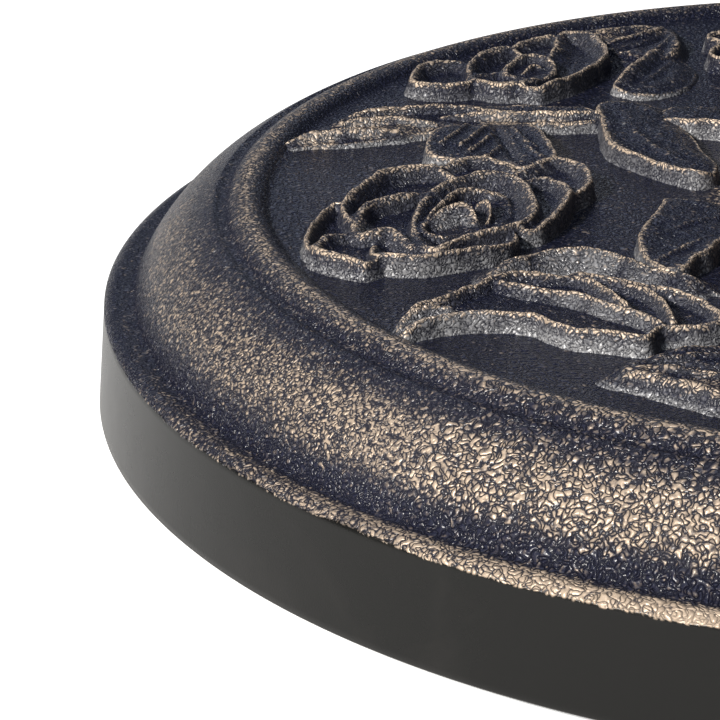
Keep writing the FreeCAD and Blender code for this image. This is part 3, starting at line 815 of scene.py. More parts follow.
def flowing_line(spots: tuple[Spot, ...], closed: bool, parts: int = 7) -> np.ndarray:
    """Draws a smooth line through spots.

    Args:
        spots: The spots that it passes through, each with its height.
        closed: Whether it returns to its first spot.
        parts: Number of parts between two spots.

    Returns:
        Rows of x, y and height.
    """
    knots = np.array(spots, float)
    if closed:
        padded = np.vstack([knots[-1:], knots, knots[:2]])
    else:
        padded = np.vstack([2 * knots[:1] - knots[1:2], knots, 2 * knots[-1:] - knots[-2:-1]])
    share = np.arange(parts)[:, None] / parts
    spans = []
    for before, start, end, after in zip(padded, padded[1:], padded[2:], padded[3:]):
        spans.append(0.5 * (2 * start + (end - before) * share
                            + (2 * before - 5 * start + 4 * end - after) * share ** 2
                            + (3 * start - before - 3 * end + after) * share ** 3))
    line = np.vstack(spans)
    return line if closed else np.vstack([line, knots[-1:]])


@dataclass(frozen=True)
class Nearest:
    """What a line is like where it comes closest to each place.

    Attributes:
        gap: Distance to the line.
        height: The line's height there.
        left: Whether the place is on the line's left.
        inside: Whether a closed line surrounds the place.
    """

    gap: np.ndarray
    height: np.ndarray
    left: np.ndarray
    inside: np.ndarray


def nearest_on(line: np.ndarray, x: np.ndarray, y: np.ndarray, closed: bool) -> Nearest:
    """Finds where a line comes closest to each place.

    Args:
        line: Rows of x, y and height.
        x: The places' x.
        y: The places' y.
        closed: Whether the line is closed.

    Returns:
        What the line is like there.
    """
    ends = np.roll(line, -1, axis=0) if closed else line[1:]
    starts = line if closed else line[:-1]
    gap = np.full(x.shape, np.inf)
    height = np.zeros(x.shape)
    left = np.zeros(x.shape, bool)
    inside = np.zeros(x.shape, bool)
    for (x0, y0, h0), (x1, y1, h1) in zip(starts, ends):
        along_x = x1 - x0
        along_y = y1 - y0
        length = max(along_x * along_x + along_y * along_y, 1e-9)
        share = np.clip(((x - x0) * along_x + (y - y0) * along_y) / length, 0.0, 1.0)
        apart = (x - x0 - share * along_x) ** 2 + (y - y0 - share * along_y) ** 2
        closer = apart < gap
        gap = np.where(closer, apart, gap)
        height = np.where(closer, h0 + (h1 - h0) * share, height)
        left = np.where(closer, along_x * (y - y0) - along_y * (x - x0) > 0.0, left)
        if closed and y0 != y1:
            inside ^= ((y0 > y) != (y1 > y)) & (x < (y - y0) * along_x / along_y + x0)
    return Nearest(np.sqrt(gap), height, left, inside)


def uneven(x: np.ndarray, y: np.ndarray, width: float, seed: float) -> np.ndarray:
    """Gives gentle lumps from about -1 to 1, the same on each run.

    Args:
        x: The places' x.
        y: The places' y.
        width: Width of a lump.
        seed: Shifts the lumps.

    Returns:
        One value per place.
    """
    golden_angle = 2.3999
    waves = 6
    total = np.zeros(x.shape)
    for index in range(waves):
        angle = seed + index * golden_angle
        across = x * math.cos(angle) + y * math.sin(angle)
        total += np.sin(across * math.pi / width * (0.75 + 0.16 * index) + seed * 3.1 + index * 1.7)
    return total / 2.8


@dataclass(frozen=True)
class Petal:
    """A petal or a leaf: a bowl with a rounded rim, or a dome where its middle is the higher.

    Attributes:
        spots: Spots of its closed rim, each with the rim's height above the field.
        dish: Height of its middle above the field.
        crest: Width of the rim's top.
        bowl: Width of the slope from the rim to the middle.
        wall: Width of the wall outside the rim.
        ragged: How far the rim strays to either side.
    """

    spots: tuple[Spot, ...]
    dish: float = 2.2
    crest: float = 0.7
    bowl: float = 3.4
    wall: float = 1.3
    ragged: float = 0.12

    @property
    def reach(self) -> float:
        """How far it spreads beyond its spots."""
        return self.wall

    def lay(self, height: np.ndarray, x: np.ndarray, y: np.ndarray) -> np.ndarray:
        """Lays the petal over what is there already.

        Args:
            height: The height at each place so far.
            x: The places' x.
            y: The places' y.

        Returns:
            The new height at each place.
        """
        rim = nearest_on(flowing_line(self.spots, True), x, y, True)
        edge = np.where(rim.inside, rim.gap, -rim.gap) + self.ragged * uneven(x, y, 3.4, self.spots[0][0])
        inward = np.clip((edge - self.crest * 0.5) / self.bowl, 0.0, 1.0)
        inward = 0.35 * inward * (2.0 - inward) + 0.65 * smooth_rise(inward)
        sheet = self.dish + (rim.height - self.dish) * (1.0 - inward)
        cover = smooth_rise(1.0 + edge / self.wall)
        return height * (1.0 - cover) + sheet * cover


@dataclass(frozen=True)
class Fold:
    """A vein, a fold or a groove along a line.

    Attributes:
        spots: Spots that it follows, each with the rise there, which is negative for a groove.
        right: Width of its flank on the right of its path.
        left: Width of its flank on the left.
        free: Whether it stands on the field by itself, and isn't added to what is there.
        hollow: How hollow its flanks are, from 1 for straight ones.
    """

    spots: tuple[Spot, ...]
    right: float = 1.6
    left: float = 1.6
    free: bool = False
    hollow: float = 1.25

    @property
    def reach(self) -> float:
        """How far it spreads beyond its spots."""
        return max(self.left, self.right)

    def lay(self, height: np.ndarray, x: np.ndarray, y: np.ndarray) -> np.ndarray:
        """Raises or sinks what is there already.

        Args:
            height: The height at each place so far.
            x: The places' x.
            y: The places' y.

        Returns:
            The new height at each place.
        """
        crest = nearest_on(flowing_line(self.spots, False), x, y, False)
        away = crest.gap / np.where(crest.left, self.left, self.right)
        rise = crest.height * np.clip(1.0 - away, 0.0, 1.0) ** self.hollow
        if self.free:
            return np.maximum(height, rise)
        return height + rise * smooth_rise(height / 2.0)


@dataclass(frozen=True)
class Daub:
    """A place with more paint on its high points, and more or less silvery paint on its walls, which is in part a
    painted highlight.

    Attributes:
        x: Its place along X.
        y: Its place along Y.
        reach: How far it fades out.
        gold: How much it adds to the paint on the high points.
        silvery_highlight: How much silvery paint it lays on the slopes, in part a painted highlight. Less than 0 takes
            it off them.
    """

    x: float
    y: float
    reach: float
    gold: float
    silvery_highlight: float

    def strength(self, x: np.ndarray, y: np.ndarray) -> np.ndarray:
        """Tells how strong the daub is at each place, from 0 to 1."""
        return smooth_rise(1.5 - 1.5 * np.hypot(x - self.x, y - self.y) / self.reach)


@dataclass(frozen=True)
class Motif:
    """One separate ornament of the relief.

    Attributes:
        name: Its name.
        layers: Its petals and folds, from the lowest up.
        turn: Direction of its long side in degrees, so that its patch fits closely.
        spacing: Distance between the vertices of its patch.
        daubs: Where it has more paint.
        light_side: The direction along X and Y from which the light comes; walls that face it get the silvery paint, a
            painted highlight in part.
        least: The lowest height that shows.
        tuck: How far what is lower is tucked under the field.
        bed: How far the whole patch is let into the field.
        rows_kept: How many rows of vertices are kept round what shows.
    """

    name: str
    layers: tuple[Petal | Fold, ...]
    turn: float = 0.0
    spacing: float = 0.40
    daubs: tuple[Daub, ...] = ()
    light_side: tuple[float, float] = (-0.42, -0.91)
    least: float = 0.03
    tuck: float = 0.5
    bed: float = 0.05
    rows_kept: int = 2

    def height(self, x: np.ndarray, y: np.ndarray) -> np.ndarray:
        """Works out the height above the field, with the casting's fine and broad lumps.

        Args:
            x: The places' x.
            y: The places' y.

        Returns:
            One height per place.
        """
        height = np.zeros(x.shape)
        for layer in self.layers:
            height = layer.lay(height, x, y)
        lumps = 0.10 * uneven(x, y, 1.9, 1.3) + 0.20 * uneven(x, y, 6.0, 4.1)
        return height + lumps * smooth_rise(height / 2.5)

    def sheet(self) -> tuple[bmesh.types.BMesh, int, int]:
        """Lays out the patch as a flat grid round the ornament.

        Returns:
            The grid, and its numbers of rows and columns of vertices.
        """
        ends = [layer for layer in self.layers if isinstance(layer, Petal) or layer.free]
        spots = np.vstack([flowing_line(layer.spots, False) for layer in ends])
        margin = max(layer.reach for layer in ends) + 1.0
        angle = math.radians(self.turn)
        along = spots[:, 0] * math.cos(angle) + spots[:, 1] * math.sin(angle)
        across = spots[:, 1] * math.cos(angle) - spots[:, 0] * math.sin(angle)
        low = Vector((along.min() - margin, across.min() - margin))
        span = Vector((along.max() + margin, across.max() + margin)) - low
        shape = bmesh.new()
        columns = round(span.x / self.spacing)
        rows = round(span.y / self.spacing)
        bmesh.ops.create_grid(shape, x_segments=columns, y_segments=rows, size=0.5)
        bmesh.ops.translate(shape, vec=(0.5, 0.5, 0.0), verts=shape.verts)
        bmesh.ops.scale(shape, vec=(span.x, span.y, 1.0), verts=shape.verts)
        bmesh.ops.translate(shape, vec=(low.x, low.y, 0.0), verts=shape.verts)
        bmesh.ops.rotate(shape, cent=(0, 0, 0), matrix=Matrix.Rotation(angle, 3, "Z"), verts=shape.verts)
        return shape, rows + 1, columns + 1

    def patch(self, level: float, sink: float = 1.6) -> bmesh.types.BMesh:
        """Makes the ornament as a closed patch that is sunk a little into the field.

        Args:
            level: Height of the field.
            sink: How far its underside lies below the field.

        Returns:
            The shape, in millimetres.
        """
        shape, rows, columns = self.sheet()
        places = coordinates_of(shape)
        height = self.height(places[:, 0], places[:, 1])
        hidden = height < self.least
        gold = self.rubbed(height, rows, columns)
        # Silvery paint on the walls that face the light, in part a painted highlight.
        silvery_highlight = self.wall_highlight(height, places, rows, columns)
        # Daubs add bronze on the high points and add or take away the painted highlight on the walls.
        for daub in self.daubs:
            strength = daub.strength(places[:, 0], places[:, 1])
            gold = np.minimum(gold + daub.gold * strength, 1.0)
            silvery_highlight = np.maximum(silvery_highlight * (1.0 + min(daub.silvery_highlight, 0.0) * strength), daub.silvery_highlight * strength)
        set_values(shape, RUB, gold)
        set_values(shape, GRAIN, np.full(height.shape, RELIEF_GRAIN))
        set_values(shape, LIT_WALL_SILVER, silvery_highlight)
        for vertex, rise, low in zip(shape.verts, height, hidden):
            vertex.co.z = level - self.tuck if low else level + rise - self.bed
        near = blurred(np.where(hidden, 0.0, 1.0).reshape(rows, columns), self.rows_kept).ravel()
        spare = [vertex for vertex, share in zip(shape.verts, near) if share == 0.0]
        bmesh.ops.delete(shape, geom=spare, context="VERTS")
        part_corners(shape)
        edges = [edge for edge in shape.edges if edge.is_boundary]
        walls = bmesh.ops.extrude_edge_only(shape, edges=edges)["geom"]
        for part in walls:
            if isinstance(part, bmesh.types.BMVert):
                part.co.z = level - sink
        rim = [part for part in walls if isinstance(part, bmesh.types.BMEdge) and part.is_boundary]
        bmesh.ops.holes_fill(shape, edges=rim, sides=0)
        return shape

    def rubbed(self, height: np.ndarray, rows: int, columns: int) -> np.ndarray:
        """Tells how much the bronze is rubbed on: most where the patch stands above its surroundings.

        Args:
            height: Height at each vertex, row by row.
            rows: Number of rows of vertices.
            columns: Number of columns of vertices.

        Returns:
            One value from 0 to 1 per vertex.
        """
        table = height.reshape(rows, columns)
        worn = np.full(table.shape, 0.06)
        # Each pair is a width in millimetres and how much standing above the average over it counts.
        for width, share in ((1.8, 1.0), (2.6, 0.20), (7.0, 0.06)):
            worn += (table - blurred(table, round(width / self.spacing))) * share
        return np.clip(worn, 0.0, 1.0).ravel()

    def wall_highlight(self, height: np.ndarray, places: np.ndarray, rows: int, columns: int) -> np.ndarray:
        """Tells how much silvery paint lies on the walls: on the outer walls that face the light, not in the bowls,
        which paints in a highlight there.

        Args:
            height: Height at each vertex, row by row.
            places: Coordinates of each vertex.
            rows: Number of rows of vertices.
            columns: Number of columns of vertices.

        Returns:
            One value from 0 to 1 per vertex.
        """
        table = height.reshape(rows, columns)
        cover = blurred(np.where(table > 0.4, 1.0, 0.0), round(2.4 / self.spacing))
        outer = smooth_rise((0.84 - cover) / 0.22)
        grid = places.reshape(rows, columns, 3)
        across, along = np.gradient(blurred(table, round(0.9 / self.spacing)), self.spacing)
        sides = ((grid[1, 0] - grid[0, 0]) / self.spacing, (grid[0, 1] - grid[0, 0]) / self.spacing)
        fall = [-(across * sides[0][axis] + along * sides[1][axis]) for axis in (0, 1)]
        steep = np.hypot(fall[0], fall[1])
        # How far each wall faces the light: the walls that do get the painted highlight.
        toward_light = (fall[0] * self.light_side[0] + fall[1] * self.light_side[1]) / np.maximum(steep, 1e-9)
        slopes = 0.18 * np.clip(steep / 0.7, 0.0, 1.0)
        return (np.maximum(outer, slopes) * smooth_rise((toward_light + 0.15) / 0.75)).ravel()


def part_corners(shape: bmesh.types.BMesh) -> None:
    """Takes away faces that meet the rest only at a corner, so that the boundary never touches itself.

    Args:
        shape: The shape, which is changed.
    """
    while True:
        pinched = [vertex for vertex in shape.verts if sum(edge.is_boundary for edge in vertex.link_edges) > 2]
        if not pinched:
            return
        bmesh.ops.delete(shape, geom=[vertex.link_faces[0] for vertex in pinched], context="FACES")


def blurred(table: np.ndarray, reach: int) -> np.ndarray:
    """Averages each value of a table with its neighbours.

    Args:
        table: The values.
        reach: How many neighbours each way count.

    Returns:
        The averages.
    """
    weights = np.hanning(2 * reach + 3)[1:-1]
    weights = weights / weights.sum()
    result = table
    for axis in (0, 1):
        pad = [(reach, reach) if side == axis else (0, 0) for side in (0, 1)]
        edged = np.pad(result, pad, mode="edge")
        size = table.shape[axis]
        result = sum(weight * edged.take(range(start, start + size), axis) for start, weight in enumerate(weights))
    return result


# The roses and leaves of one third of the field, each with its layers from the lowest up.
MOTIFS = (
    Motif("rose_large", (
        Petal(((-162, -19, 5), (-165, -22, 4.6), (-167, -28, 4.6), (-169, -36, 4.6), (-170, -45, 4.6), (-168, -51, 3.4),
            (-160, -52, 3), (-150, -44, 3), (-153, -26, 3)), dish=1.5, bowl=2.8, wall=1.6),
        Petal(((-161, -20, 5.4), (-159.5, -14, 5.8), (-156, -5, 5.8), (-151.5, 5, 5.8), (-145, 9.5, 5.8),
            (-139, 11, 5.6), (-134, 10, 5.2), (-127, 0, 4), (-130, -22, 4), (-145, -33, 4), (-157, -34, 4.6),
            (-160.5, -28, 5.2)), dish=1.7, bowl=5.0, wall=1.4),
        Petal(((-135, 9, 4.6), (-134, 13, 5), (-130, 16.5, 5.2), (-128, 18.5, 5.4), (-122, 18, 5.2), (-117, 13, 4.6),
            (-115, 4, 4), (-125, -5, 4)), dish=2.8),
        Petal(((-119, 2, 4.8), (-114, 8, 5.2), (-110, 13, 5.6), (-106, 17, 5.8), (-101, 15, 5.8), (-97.5, 9, 5.8),
            (-96.5, 0, 5.6), (-99.5, -8, 5), (-108, -16, 4), (-119, -10, 4)), dish=2.9, bowl=5.0),
        Petal(((-110, 1, 5.2), (-105, -3, 5.6), (-102.5, -10, 5.8), (-104, -19, 5.8), (-107.5, -29, 5.4),
            (-113, -38, 4.6), (-121, -36, 4), (-123, -10, 4)), dish=3.0, crest=1.2, bowl=3.6, wall=1.5),
        Petal(((-166.5, -48, 4.8), (-165, -44, 4.8), (-162, -42, 4.6), (-157, -41, 4.2), (-151, -45, 4),
            (-150, -55, 4.4), (-154.5, -62.5, 4.6), (-157.5, -62, 5.2), (-161, -60, 5.4), (-165, -57, 5.4),
            (-167.5, -53, 5.2)), dish=2.4, crest=1.5, bowl=3.0, wall=2.6),
        Petal(((-153.5, -57, 5), (-151.5, -59.5, 5.6), (-147, -61, 5.8), (-141.5, -61, 5.8), (-136, -59, 5.8),
            (-130, -56, 5.8), (-124, -53, 5.2), (-119, -48, 4.6), (-118, -40, 4), (-126, -36, 4), (-140, -37, 4),
            (-152, -46, 3.4)), crest=0.8),
        Petal(((-158, -38, 4.6), (-157, -30, 5.6), (-156, -25, 6), (-154, -21, 6.2), (-151, -18.5, 6.2),
            (-146, -15, 6.2), (-142, -12.5, 5.8), (-136, -12, 5), (-131, -20, 4), (-132, -42, 4), (-142, -51, 4.4),
            (-146, -47, 5.6), (-149, -42.5, 6), (-153, -43.5, 6), (-156, -44, 5.4)), dish=2.4, crest=1.6, wall=3.2),
        Petal(((-142.5, -28, 5.4), (-139, -13, 5.8), (-134, -4.5, 6.2), (-131, -1.5, 6.4), (-127, 2, 6.4),
            (-122, 3, 6.4), (-117.5, 0, 6.4), (-114, -6, 6.4), (-112.5, -14, 6.4), (-112, -22, 6.4), (-112.5, -29, 6.2),
            (-115, -35, 6.2), (-120, -40, 6.2), (-125, -43.5, 6.2), (-131, -47.5, 6), (-137, -53, 5.4), (-141, -51, 5),
            (-143, -43, 5)), dish=2.4, crest=0.8, bowl=5.4, wall=2.0),
        Petal(((-141, -40, 5), (-139.5, -32, 5.8), (-137, -25, 6.4), (-133.5, -16, 6.6), (-130, -12, 6.6),
            (-126, -10.5, 6.2), (-122, -11.5, 5.2), (-119, -13, 4), (-119, -22, 3), (-122, -32, 3), (-128, -38, 3),
            (-136, -42, 4)), dish=3.2, crest=0.6, bowl=2.6, wall=1.8),
        Fold(((-140.5, -37, 4.2), (-138.5, -32.5, 6.0), (-135.5, -28.5, 7.2), (-131.5, -26, 7.6), (-128.6, -27.5, 7.0),
            (-127.2, -31, 5.4)), right=11.0, left=2.2, free=True),
        Fold(((-127, -21.5, 5.6), (-125, -21, 7.0), (-123.6, -24, 6.6), (-124, -29, 5.0),
            (-125.6, -33, 3.4)), right=2.2, left=2.0, free=True),
    ), spacing=0.36, daubs=(Daub(-133, -33, 7.5, 0.15, 0.9), Daub(-152, -38, 8, 0.25, 0.5),
        Daub(-160, -57, 8, 0.2, 0.3))),
    Motif("rose_small", (
        Petal(((-142, 92, 5), (-141, 100, 5.2), (-139, 106, 5.2), (-134, 110, 5), (-127, 110, 4.4), (-122, 98, 4),
            (-126, 89, 4.6), (-133, 87, 5), (-139, 88, 5)), dish=2.0, crest=1.1, bowl=4.6, wall=2.2),
        Petal(((-125, 97, 5.4), (-125, 106, 5.6), (-122, 115, 5.8), (-118, 120, 5.8), (-114, 123, 5.6),
            (-109, 122, 4.8), (-104, 110, 4), (-110, 94, 4), (-118, 90, 5.4)), dish=2.0, crest=1.0, bowl=5.0, wall=1.8),
        Petal(((-112, 123, 5.2), (-108, 130, 5.4), (-104, 134, 5.4), (-99, 136, 5.2), (-96, 130, 4), (-98, 118, 4),
            (-106, 112, 4)), dish=2.8, crest=1.0),
        Petal(((-98, 137, 5), (-93, 139.5, 5.4), (-88.5, 137, 5.6), (-86, 130, 5.6), (-84.5, 120, 5.6), (-86, 112, 5.6),
            (-90, 103, 5.6), (-96, 93, 5.8), (-102, 86.5, 5.8), (-107, 83, 5.2), (-112, 88, 4.6), (-108, 100, 4),
            (-101, 118, 4)), dish=2.0, crest=0.8, bowl=6.0),
        Petal(((-125, 95, 5), (-122, 89, 5.4), (-116, 86, 5.6), (-110, 88, 5.6), (-106, 94, 5), (-108, 100, 4),
            (-118, 100, 4)), dish=3.0, crest=1.4, bowl=2.6, wall=3.0),
        Petal(((-115, 98, 5), (-112.5, 107, 6.2), (-108.5, 112, 6.4), (-104, 111, 6.2), (-101, 105, 5.6),
            (-102, 98, 4.6), (-107, 94, 4)), dish=4.0, crest=0.8, bowl=2.2, wall=2.0),
        Fold(((-110, 98, 1.2), (-107.5, 103, 2.0), (-105, 104, 1.4))),
        Fold(((-103, 116, 1.0), (-100, 121, 1.6), (-97, 124, 1.0)), right=2.4, left=2.0),
    ), spacing=0.42, daubs=(Daub(-128, 92, 20, 0.0, -0.6), Daub(-104, 84, 20, 0.0, -0.6))),
    Motif("leaf_front", (
        Petal(((-148.5, -103.5, 0.8), (-147, -98.5, 2.8), (-143, -93, 5), (-138, -89.5, 5), (-135, -86, 5),
            (-131.5, -81.5, 5), (-129, -79.5, 5), (-126, -75.5, 5.2), (-123, -73, 5.2), (-120, -71, 5.2),
            (-116, -70.5, 5), (-108, -72, 4.4), (-102, -71.5, 5), (-92, -78, 5), (-84, -82, 5), (-76, -90, 5),
            (-72, -103, 5.2), (-78, -108, 5.2), (-87, -109, 5.2), (-91, -115, 5.2), (-97, -113.5, 5.4),
            (-103, -111.5, 5.4), (-107, -110.5, 5.2), (-111, -107, 5.2), (-115, -102, 5.2), (-119, -100, 5.2),
            (-124, -98.8, 5.2), (-130, -99, 5.2), (-135, -100, 5.0), (-139, -101.6, 4.8), (-142.5, -103.4, 4.4),
            (-146, -106, 3.0)), dish=2.5, crest=0.8, bowl=3.0, wall=1.8),
        Fold(((-147, -101.5, 3.4), (-143.5, -96.5, 5), (-139.5, -94.5, 5.2),
            (-135.4, -94.5, 5)), right=5.4, left=2.0, free=True),
        Fold(((-124, -75.5, 5.2), (-121, -79.5, 5.5), (-116, -82.5, 5.6), (-112, -85, 5.8), (-108, -86.5, 5.9),
            (-104, -89, 5.9), (-100, -93.5, 5.9), (-96, -97, 5.9), (-91, -101, 5.8),
            (-87, -106, 5.6)), right=5.4, left=7.0, free=True),
        Fold(((-106, -73, 4.6), (-102, -76, 5.2), (-99.5, -80, 5.5), (-97, -86, 5.5),
            (-94, -92, 5.3)), right=4.6, left=6.0, free=True),
        Fold(((-93, -79, 4.8), (-89, -83, 5.4), (-86, -89, 5.6), (-84.5, -96, 5.6),
            (-84, -104, 5.4)), right=4.6, left=5.0, free=True),
    ), turn=-20, spacing=0.38, daubs=(Daub(-144, -101, 7, 0.1, 1.0), Daub(-137, -99, 7, 0.0, 1.0),
        Daub(-129, -98, 7, 0.0, 1.0), Daub(-118, -84, 6, 0.0, 0.6), Daub(-108, -90, 7, 0.0, 0.6),
        Daub(-99, -96, 7, 0.0, 0.6), Daub(-92, -103, 6, 0.0, 0.5))),
    Motif("leaf_low", (
        Petal(((-100, -132, 1.6), (-97, -130, 3), (-92, -127, 3.8), (-88, -124, 4.2), (-80, -120, 4.4),
            (-73, -119, 3.6), (-67, -122, 2.2), (-65, -130, 1.6), (-67, -140, 1.6), (-71, -148, 2), (-76, -149.5, 4.4),
            (-80, -146.5, 5), (-84, -143.5, 5), (-88, -140.5, 4.8), (-91, -138, 4.6), (-94, -135.5, 4),
            (-97, -134, 3)), dish=3.4, crest=1.0, bowl=3.0, wall=4.2),
        Fold(((-97, -132.5, 0.6), (-90, -132, 1.4), (-82, -135, 1.6), (-72, -139, 1.0)), right=2.6, left=1.8),
        Fold(((-92, -128, -0.6), (-82, -128.5, -1.2), (-70, -132, -1.0)), right=2.6, left=2.2),
        Fold(((-88, -126, 0.5), (-80, -124, 0.9), (-70, -124, 0.9)), right=2.0),
    ), daubs=(Daub(-92, -134, 7, 0.35, 0.0), Daub(-80, -141, 8, 0.30, 0.0))),
    Motif("leaf_middle", (
        Fold(((-129.5, -67.5, 0.4), (-126.5, -67, 2.6), (-123, -65, 3.8), (-119, -61.5, 4.4), (-115, -57.5, 4.8),
            (-109, -54.5, 5.2), (-102, -54, 5.4), (-97, -56, 5.2), (-93, -59.5, 5), (-89, -63, 4.8), (-85, -67.5, 4.6),
            (-77, -72, 4.4)), right=6.4, left=9.0, free=True),
        Fold(((-122, -62, 1.0), (-116, -60, 1.0)), left=1.4),
        Fold(((-112, -50, -0.8), (-102, -49, -1.0), (-92, -54, -0.9), (-84, -62, -0.7)), right=2.2, left=2.6),
    ), turn=-12, daubs=(Daub(-119, -64, 8, 0.1, 0.7), Daub(-108, -58, 8, 0.1, 0.7), Daub(-98, -59, 8, 0.1, 0.7),
        Daub(-88, -68, 9, 0.1, 0.6))),
    Motif("leaf_inner", (
        Petal(((-77, -8, 2.2), (-79, -14, 3.4), (-81.5, -23, 4.2), (-84.5, -32, 4.4), (-87, -41, 4.4),
            (-87.5, -50, 4.2), (-86.5, -58, 4), (-83, -66, 4), (-78, -66, 4.8), (-75, -60, 5.2), (-71, -55, 5.4),
            (-68, -48, 5.2), (-63, -36, 3.6), (-61, -20, 2.6), (-68, -8, 2)), dish=3.9, crest=0.5, bowl=6.0),
        Fold(((-84, -60, 0.3), (-78, -52, 0.8), (-70, -43, 0.5))),
        Fold(((-80, -38, 0.3), (-74, -32, 0.7), (-66, -26, 0.3))),
    ), turn=-70),
    Motif("leaf_tall", (
        Petal(((-91, 66, 4.6), (-90.3, 54, 5), (-90.5, 41, 5), (-89.3, 32, 5), (-87, 27, 5), (-84, 23, 5),
            (-80.5, 18, 5), (-77, 14, 5), (-73, 10, 5), (-68.5, 6.5, 5), (-64, 9, 4.2), (-62.5, 18, 3.4),
            (-65, 30, 3.2), (-67, 43, 3.2), (-70, 55, 3.2), (-73, 68, 3.2), (-80, 74, 3.2),
            (-88, 73, 3.8)), dish=4.3, crest=0.6, bowl=4.6, wall=1.2),
        Fold(((-84, 62, 0.2), (-82, 44, 0.5), (-77, 28, 0.5), (-70, 16, 0.3)), right=3.0, left=3.0),
    ), turn=-80, daubs=(Daub(-91, 48, 22, 0.0, -0.55), Daub(-82, 18, 24, 0.0, -0.55))),
    Motif("leaf_hub", (
        Petal(((-74, 58, 3.8), (-71, 54, 4.8), (-67, 51.5, 5.4), (-62, 51, 5.6), (-57, 49, 5.4), (-52, 47, 5.2),
            (-49, 54, 4.2), (-54, 64, 3.6), (-62, 70, 3.2), (-71, 68, 3.4)), dish=4.0, crest=1.2, wall=1.6),
    ), turn=-20, daubs=(Daub(-62, 52, 6, 0.35, 0.0),)),
    Motif("leaf_back", (
        Petal(((-177, 41, 0.6), (-173, 48, 1.0), (-167, 55, 1.4), (-159, 62, 1.8), (-149, 68, 2.2), (-137, 71.5, 2.4),
            (-121, 72, 2.8), (-104, 71, 3.2), (-93, 68, 3.4), (-91, 58, 3.4), (-100, 55.5, 3.2), (-112, 55, 3),
            (-126, 53, 2.4), (-138, 50.5, 2.0), (-148, 46.5, 1.6), (-158, 43, 1.4), (-168, 42, 1.0),
            (-174, 40.5, 0.8)), dish=2.8, crest=0.2, bowl=5.0, wall=1.4),
        Fold(((-176, 42.5, 1.8), (-170, 45.5, 3.8), (-162, 46.5, 4.4), (-153, 47.5, 4.2),
            (-146, 49, 3.2)), right=3.8, left=2.8, free=True),
        Fold(((-168, 50, 1.8), (-161, 53, 4.4), (-155, 55.5, 5.0), (-149, 56.5, 5.0), (-142, 55.5, 4.6),
            (-136, 54.5, 3.6)), right=5.6, left=3.0, free=True),
        Fold(((-164, 58.5, 1.8), (-157, 62, 4.4), (-149, 64.5, 5.0), (-139, 66, 5.2), (-128, 65.5, 5.2),
            (-118, 63, 4.6)), right=5.4, left=4.0, free=True),
        Fold(((-134, 60, 3.6), (-126, 59, 5.0), (-117, 58.8, 5.6), (-106, 58.4, 5.8), (-98, 58.4, 5.8),
            (-91, 58.4, 5.6)), right=3.6, left=9.0, free=True),
    ), turn=15, daubs=(Daub(-168, 45, 8, 0.55, 0.9), Daub(-155, 51, 9, 0.50, 0.9), Daub(-148, 60, 9, 0.30, 0.3),
        Daub(-141, 53, 8, 0.35, 0.7), Daub(-118, 59, 9, 0.40, 0.5), Daub(-104, 59, 9, 0.40, 0.5))),
    Motif("leaf_veined", (
        Petal(((-138, 24, 4.4), (-138.5, 35, 4.4), (-137, 44, 4.0), (-134, 51, 3.4), (-127, 54, 3.2), (-118, 54, 3.2),
            (-111, 52, 3.8), (-108, 46, 4.6), (-106.5, 38, 4.8), (-105, 28, 4.8), (-104.5, 23, 4.6), (-107, 20, 4.4),
            (-114, 14.5, 3.4), (-121, 20, 4), (-130, 21, 4)), dish=4.0, crest=0.6, bowl=3.6, wall=1.2),
        Fold(((-120, 52, -0.5), (-118.5, 42, -1.3), (-117, 32, -1.4), (-115, 20, -1.2)), right=2.6, left=2.0),
        Fold(((-122, 51, 0.6), (-125, 42, 1.2), (-129.5, 32, 1.0)), right=1.3),
        Fold(((-127, 52, 0.6), (-130.5, 43, 1.2), (-135, 33, 1.0)), right=1.3),
        Fold(((-120.5, 42, 0.6), (-124, 34, 1.2), (-128, 25, 1.0)), right=1.3),
        Fold(((-118.5, 32, 0.5), (-121, 26, 1.0), (-124, 20, 0.8)), right=1.2, left=1.4),
        Fold(((-115, 48, 0.5), (-112.5, 38, 0.9), (-109.5, 30, 0.6)), right=1.4, left=1.4),
        Fold(((-113, 36, 0.5), (-111, 28, 0.9), (-108.5, 22, 0.6)), right=1.4, left=1.4),
    ), turn=90),
    Motif("leaf_far", (
        Petal(((-84, 92, 2.6), (-81.5, 100, 4.6), (-76.5, 111, 4.8), (-70.5, 124, 4.4), (-64, 123, 1.6),
            (-60, 110, 1.0), (-65, 95, 1.0), (-76, 87, 1.6)), crest=0.8, bowl=5.0, wall=1.4),
        Fold(((-77, 95, 0.4), (-71, 106, 0.8), (-66, 118, 0.4)), right=2.0, left=2.0),
    ), turn=65),
)


@dataclass
class Relief:
    """Roses and leaves, made for one third of the field and repeated round the pole.

    Attributes:
        level: Height of the field.
        repeats: How many times the pattern comes round.
    """

    level: float
    repeats: int = 3

    def build(self, material: bpy.types.Material) -> list[bpy.types.Object]:
        """Makes every ornament.

        Args:
            material: The cast finish.

        Returns:
            The pieces.
        """
        pieces = []
        for motif in MOTIFS:
            shape = motif.patch(self.level)
            for index in range(self.repeats):
                copy = shape.copy()
                turn = Matrix.Rotation(2 * math.pi / self.repeats * index, 3, "Z")
                bmesh.ops.rotate(copy, cent=(0, 0, 0), matrix=turn, verts=copy.verts)
                pieces.append(finish_mesh(copy, f"{motif.name}_{index + 1}", material, None))
            shape.free()
        return pieces


# ------------------------------------------------------------------------------------------------------- hub


